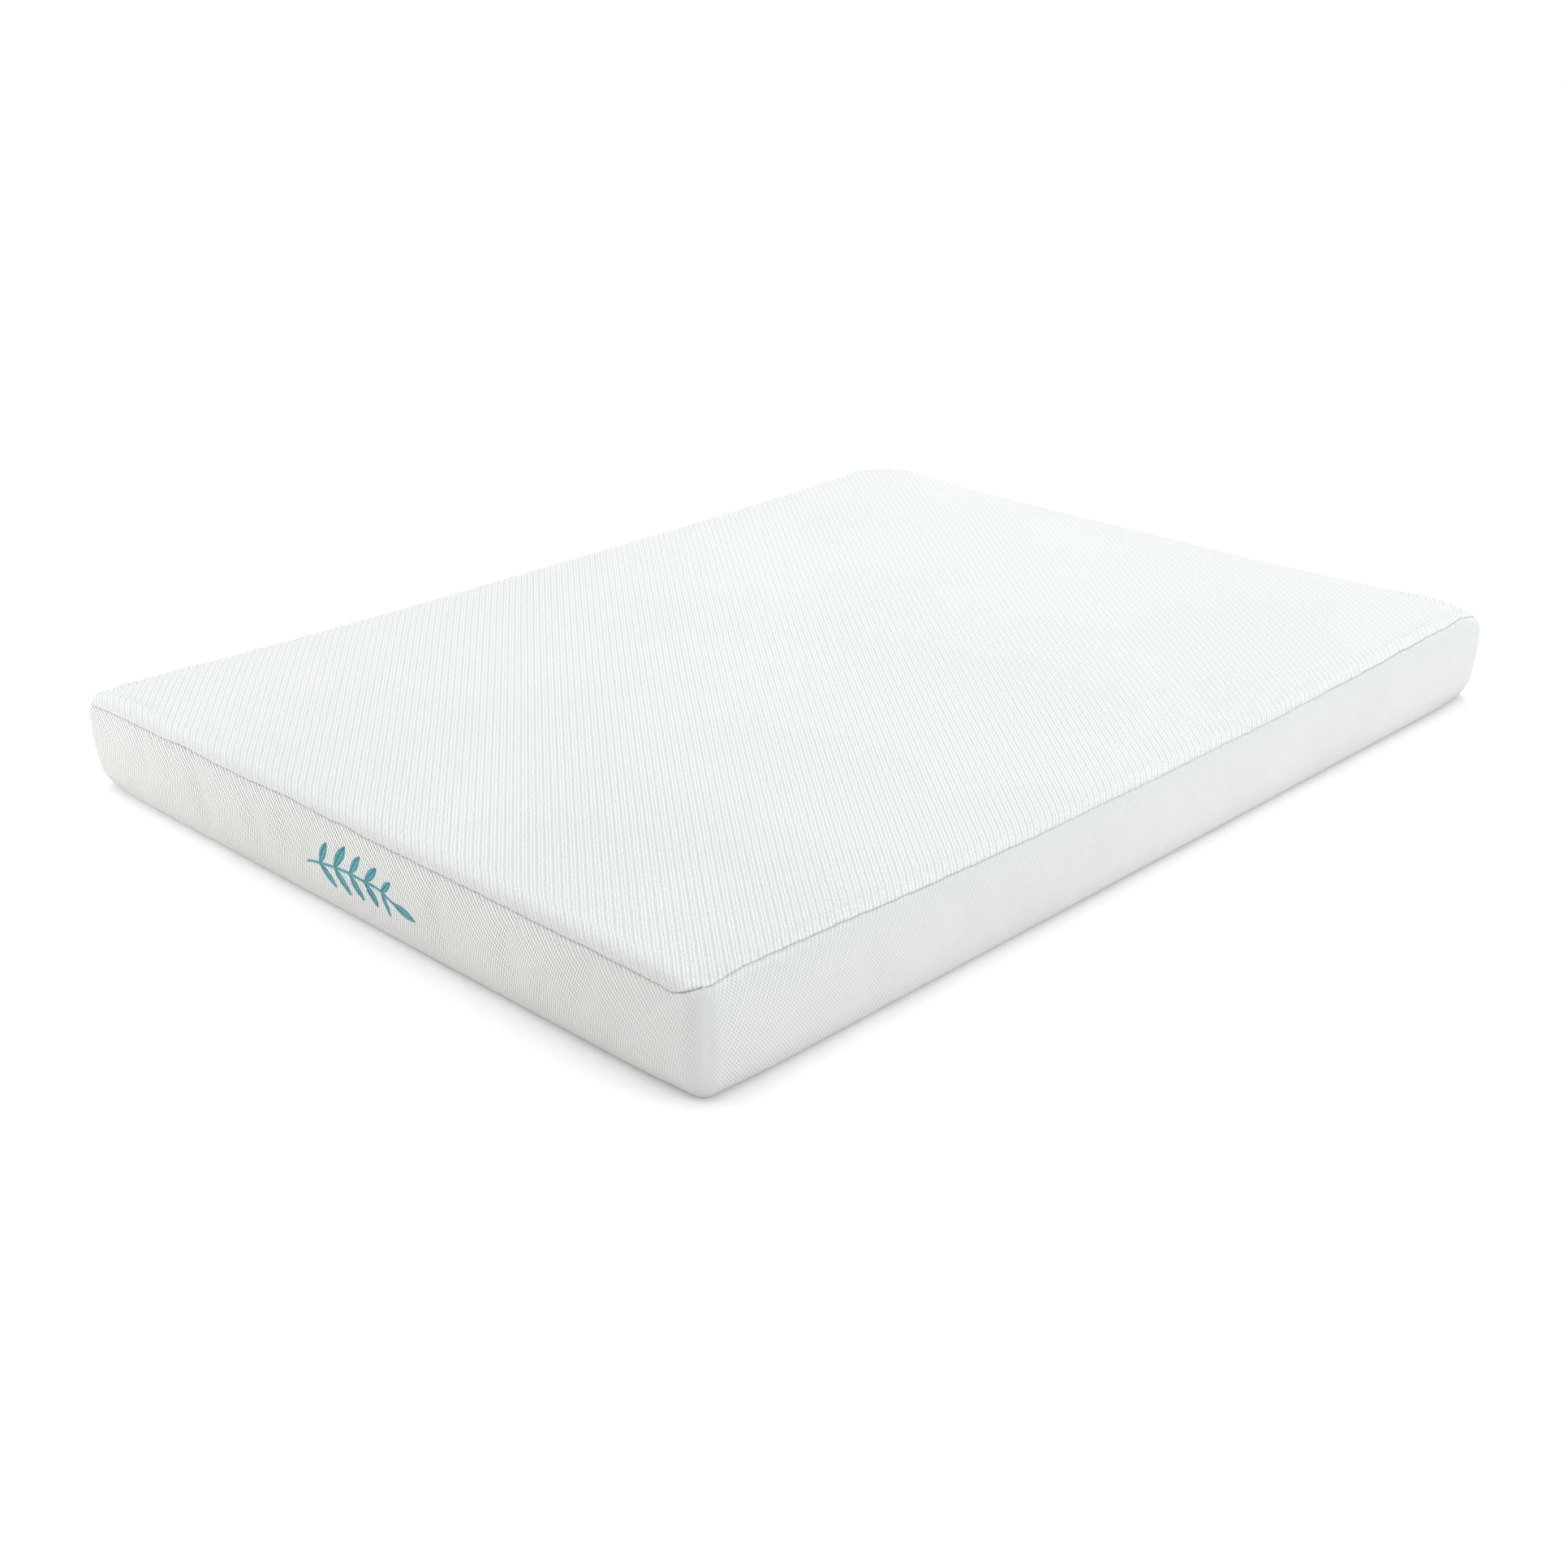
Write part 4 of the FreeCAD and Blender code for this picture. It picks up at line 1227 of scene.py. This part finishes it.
def seam_stitches(material):
    """The stitches that show just under the top seam."""
    pitch, length = 0.0046, 0.0034
    recess = math.exp(-STITCH_DROP / RECESS_REACH)
    starts, ends, normals = [], [], []
    for side in SIDES:
        reach = STRAIGHT[side] + QUARTER - 0.003
        run = np.arange(-reach, reach, pitch)
        for shift, store in ((0.0, starts), (length, ends)):
            at = run + shift
            sunk = RECESS[side] * recess + pucker(side, at, np.array(STITCH_DROP)) - 0.0001
            store.append(settle_border(side, at, seam_q(side, at) - STITCH_DROP, sunk))
        out = starts[-1] - cover(side, run, seam_q(side, run) - STITCH_DROP, 0.01)
        normals.append(unit(out))
    stitches = (np.concatenate(x) for x in (starts, ends, normals))
    finish_piece(threads("seam_stitches", *stitches, 0.0003, 0.0004, material), "overlock_thread")


# --- Zip ---------------------------------------------------------------------------------------------

COIL_PITCH = 0.0018
COIL_DEPTH = 0.00255
COIL_OFF = 0.00205
COIL_HALF_WIDTH = 0.00086
COIL_HALF_DEPTH = 0.00064
FILAMENT = 0.00031
COIL_START_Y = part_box("zip_coil_lower")[0].y
COIL_END_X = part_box("zip_coil_lower")[1].x
LEFT_ZIP_LENGTH = -COIL_START_Y + CORE_Y + QUARTER
HEAD_ZIP_LENGTH = CORE_X + QUARTER + COIL_END_X


def on_zip(distance, z, depth):
    """Points along the zip, from its foot end up the left side and round the corner along the head."""
    points = np.empty((len(distance), 3))
    left = distance < LEFT_ZIP_LENGTH
    for side, part, run in (("left", left, -COIL_START_Y - distance),
                            ("head", ~left, CORE_X + QUARTER - (distance - LEFT_ZIP_LENGTH))):
        points[part] = cover(side, run[part], q_at(z[part]), depth[part])
    return points


def coil(name, node, way, material):
    """A flattened spiral of nylon monofilament."""
    per_turn = 8
    length = LEFT_ZIP_LENGTH + HEAD_ZIP_LENGTH - 2 * FILAMENT
    turns = int(length / COIL_PITCH)
    turn = 2 * math.pi * np.arange(turns * per_turn + 1) / per_turn
    distance = FILAMENT + length * turn / turn[-1]
    middle = (SLOT_LOW + SLOT_HIGH) / 2 + way * COIL_OFF
    z = middle + way * COIL_HALF_WIDTH * np.cos(turn)
    depth = COIL_DEPTH + COIL_HALF_DEPTH * np.sin(turn)
    centre = on_zip(distance, z, depth)
    out = unit(on_zip(distance, z, depth - 0.001) - centre)
    along = unit(np.gradient(centre, axis=0))
    side = unit(np.cross(along, out))
    up = np.cross(side, along)
    sides = 4
    around_it = (2 * math.pi * (np.arange(sides) + 0.5) / sides)[:, None]
    ring = side[:, None] * np.cos(around_it) + up[:, None] * np.sin(around_it)
    number = np.arange(len(centre) * sides).reshape(-1, sides)
    after = np.roll(number, -1, axis=1)
    faces = np.stack([number[:-1], after[:-1], after[1:], number[1:]], -1).reshape(-1, 4)[:, ::-1].tolist()
    faces += [number[0].tolist(), number[-1][::-1].tolist()]
    made = new_object(name, centre[:, None] + FILAMENT * ring, faces, material=material)
    finish_piece(made, "zip_coil", node)


TOPSTITCH_MARGIN = 0.0035


def topstitching(material):
    """Rows of stitches that hold the folded edges of the opening to the tapes."""
    pitch, length = 0.0036, 0.0027
    starts, ends, normals = [], [], []
    for z in (SLOT_HIGH + TOPSTITCH_MARGIN, SLOT_LOW - TOPSTITCH_MARGIN):
        for side in ("head", "left"):
            low, high = ZIP_RUN[side]
            run = np.arange(low + 0.003, high - 0.003, pitch)
            height = np.full(len(run), z)
            first, out = on_cover(side, run, height, 0.0001, False)
            starts.append(first)
            ends.append(on_cover(side, run + length, height, 0.0001, False)[0])
            normals.append(out)
    stitches = (np.concatenate(x) for x in (starts, ends, normals))
    finish_piece(threads("zip_topstitching", *stitches, 0.00025, 0.0003, material), "overlock_thread")


# --- Embroidery and label ----------------------------------------------------------------------------

SPRIG_X = 0.017
SPRIG_LENGTH = 0.240
STEM_WIDTH = 0.005
STEM_RISE = 0.014
LEAF_PAIRS = 5
LEAF_LENGTH = 0.052
LEAF_WIDTH = 0.017
LEAF_ANGLE = math.radians(52)
LEAF_SHRINK = 0.07
SATIN_PITCH = 0.00055
SATIN_SLANT = 0.55
SHORTEST_STITCH = 0.0012


def sprig_stitches():
    """Starts and ends of the sprig's satin stitches on the flat, as (run, height) pairs."""
    middle_z = (HEIGHT - 0.015) / 2 + 0.0015
    half = SPRIG_LENGTH / 2
    stem_half = half - LEAF_LENGTH / 4
    radius = (stem_half**2 + STEM_RISE**2) / (2 * STEM_RISE)

    def stem_z(x, off=0.0):
        return middle_z + STEM_RISE / 2 - radius + np.sqrt((radius + off) ** 2 - x**2)

    x = np.arange(-half, stem_half, SATIN_PITCH)
    starts = [np.stack([x, stem_z(x, -STEM_WIDTH / 2)], -1)]
    ends = [np.stack([x + 0.0015, stem_z(x, STEM_WIDTH / 2)], -1)]
    step = (half + stem_half) / (LEAF_PAIRS + 1)
    leaves = []
    for i in range(LEAF_PAIRS):
        at = -half + step * (i + 1)
        lean = math.asin(-at / radius)
        scale = 1 - LEAF_SHRINK * abs(i - 1)
        leaves += [(at, lean + LEAF_ANGLE, scale), (at, lean - LEAF_ANGLE, scale)]
    tip = stem_half - STEM_WIDTH
    leaves.append((tip, math.asin(-stem_half / radius), 1.0))
    for at, turn, scale in leaves:
        length, width = LEAF_LENGTH * scale, LEAF_WIDTH * scale
        bow = ((length / 2) ** 2 + (width / 2) ** 2) / width
        t = np.arange(0.0012, length - 0.0008, SATIN_PITCH)
        c, s = math.cos(turn), math.sin(turn)
        base = np.array([at, float(stem_z(at))])
        for way in (-1, 1):
            slant = SATIN_SLANT * width / 2 * np.sin(math.pi * t / length)
            edge_t = np.minimum(t + slant, length - 0.0006)
            edge = np.sqrt(np.maximum(bow**2 - (edge_t - length / 2) ** 2, 0)) - (bow - width / 2)
            inner = np.full(len(t), 0.00012)
            for across, place, store in ((inner, t, starts), (edge, edge_t, ends)):
                u = base[0] + place * c - way * across * s
                v = base[1] + place * s + way * across * c
                store.append(np.stack([u, v], -1))
    starts, ends = np.concatenate(starts), np.concatenate(ends)
    starts[:, 0] += SPRIG_X
    ends[:, 0] += SPRIG_X
    return starts, ends


def sprig(material):
    """A satin-stitched leaf sprig in the middle of the foot end."""
    starts, ends = sprig_stitches()
    long_enough = np.linalg.norm(ends - starts, axis=1) > SHORTEST_STITCH
    starts, ends = starts[long_enough], ends[long_enough]
    a, out = on_cover("foot", starts[:, 0], starts[:, 1], 0.00035)
    b, _ = on_cover("foot", ends[:, 0], ends[:, 1], 0.00015)
    made = threads("leaf_sprig", a, b, out, 0.00085, 0.00036, material, sides=5)
    finish_piece(made, "embroidery_thread", "embroidered_sprig")


LABEL_LOOSE = 0.02


def care_label(satin, white_thread):
    """A blank woven label sewn to the head end by its top and side edges."""
    low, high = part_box("care_label")
    runs = -np.linspace(high.x, low.x, 24)
    heights = np.linspace(low.z, high.z, 32)
    def lift(run, z):
        loose = smooth((low.z + LABEL_LOOSE - z) / LABEL_LOOSE)
        return loose * (0.0006 + 0.0006 * np.sin((run - runs[0]) * 120))
    label = patch("blank_care_label", "head", runs, heights, -0.0009, 0.0004, satin, lift)
    finish_piece(label, "label_satin", "care_label")
    inset, pitch = 0.0025, 0.0032
    left, right, top, foot = runs[0] + inset, runs[-1] - inset, high.z - inset, low.z + LABEL_LOOSE
    rows = []
    for line in (((left, top), (right, top)), ((left, foot), (left, top)), ((right, foot), (right, top))):
        a, b = np.array(line)
        count = int(np.linalg.norm(b - a) / pitch)
        t = np.arange(count)[:, None] / count
        rows.append((a + (b - a) * t, a + (b - a) * (t + 0.72 / count)))
    starts, ends = (np.concatenate(x) for x in zip(*rows))
    a, out = on_cover("head", starts[:, 0], starts[:, 1], 0.0010)
    b, _ = on_cover("head", ends[:, 0], ends[:, 1], 0.0010)
    finish_piece(threads("label_stitches", a, b, out, 0.0002, 0.00022, white_thread), "overlock_thread")


def embroidery_backing(material):
    """The stabiliser behind the sprig, inside the border."""
    low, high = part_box("embroidery_backing")
    runs, heights = np.linspace(low.x, high.x, 60), np.linspace(low.z, high.z, 24)
    made = patch("sprig_backing", "foot", runs, heights, SEAM_DEPTH, 0.0005, material)
    finish_piece(made, "backing_fleece", "embroidery_backing")


def repaint(node, material):
    """Gives a CAD node that stays a better material."""
    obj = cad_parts[node]
    obj.data.materials.clear()
    obj.data.materials.append(material)


# --- Run ---------------------------------------------------------------------------------------------

set_camera()
set_stage()
simulate_cover()

end_run, side_run = CORE_X + QUARTER, CORE_Y + QUARTER
foot_material = knit_border(
    "knit_border_ends", 50.0, 0.0059, -18.5, 0.00433, 0.0,
    ((-end_run, 2.0), (0.1, 0.56), (end_run, 0.17)), (end_run - 0.004, end_run - 0.022))
side_material = knit_border(
    "knit_border_sides", -35.0, 0.0063, 38.0, 0.0043, 0.75,
    ((-side_run, 0.17), (-0.6, 0.12), (side_run, 0.08)), (0.006 - side_run, 0.045 - side_run))
top_panel(knit_top())
border("foot", foot_material, "border_foot_end")
border("right", side_material, "border_right_side")
border("head", foot_material, "border_head_end", "zip_skirt_head_end")
border("left", side_material, "border_left_side", "zip_skirt_left_side")
bottom_panel(bottom_fabric())

overlock = thread("overlock_thread", (0.62, 0.62, 0.60), (0.84, 0.84, 0.82))
seam_stitches(overlock)
seam_ribbon("top_seam_overlock", "top_seam_allowance",
            lambda side, run: seam_q(side, run) - ALLOWANCE_WIDTH,
            lambda side, run: seam_q(side, run) - 0.0008, overlock)
bottom_q = float(q_at(BOTTOM_SEAM_Z))
seam_ribbon("bottom_seam_overlock", "bottom_seam_allowance",
            lambda side, run: np.full(len(run), bottom_q + 0.0008),
            lambda side, run: np.full(len(run), bottom_q + ALLOWANCE_WIDTH), overlock)
corner_seams(overlock)
for layer, pale, dark, cells in (("memory_foam", (0.80, 0.86, 0.80), (0.62, 0.70, 0.63), 420.0),
                                 ("transition_foam", (0.70, 0.78, 0.84), (0.52, 0.60, 0.67), 300.0),
                                 ("base_foam", (0.84, 0.83, 0.78), (0.66, 0.65, 0.60), 240.0)):
    foam_layer(layer + "_slab", layer, foam(layer, pale, dark, cells))
fire_sock()

filament = nylon()
coil("zip_coil_upper_spiral", "zip_coil_upper", 1, filament)
coil("zip_coil_lower_spiral", "zip_coil_lower", -1, filament)
topstitching(overlock)
woven_tape = tape_weave()
for node in ("zip_tape_upper", "zip_tape_lower"):
    repaint(node, woven_tape)
nickel = zip_metal()
for node in ("zip_stops", "zip_slider", "zip_pull_tab"):
    repaint(node, nickel)

sprig(thread("embroidery_thread", (0.018, 0.18, 0.215), (0.085, 0.42, 0.47), 0.38, 700.0))
embroidery_backing(fleece())
care_label(label_satin(), overlock)
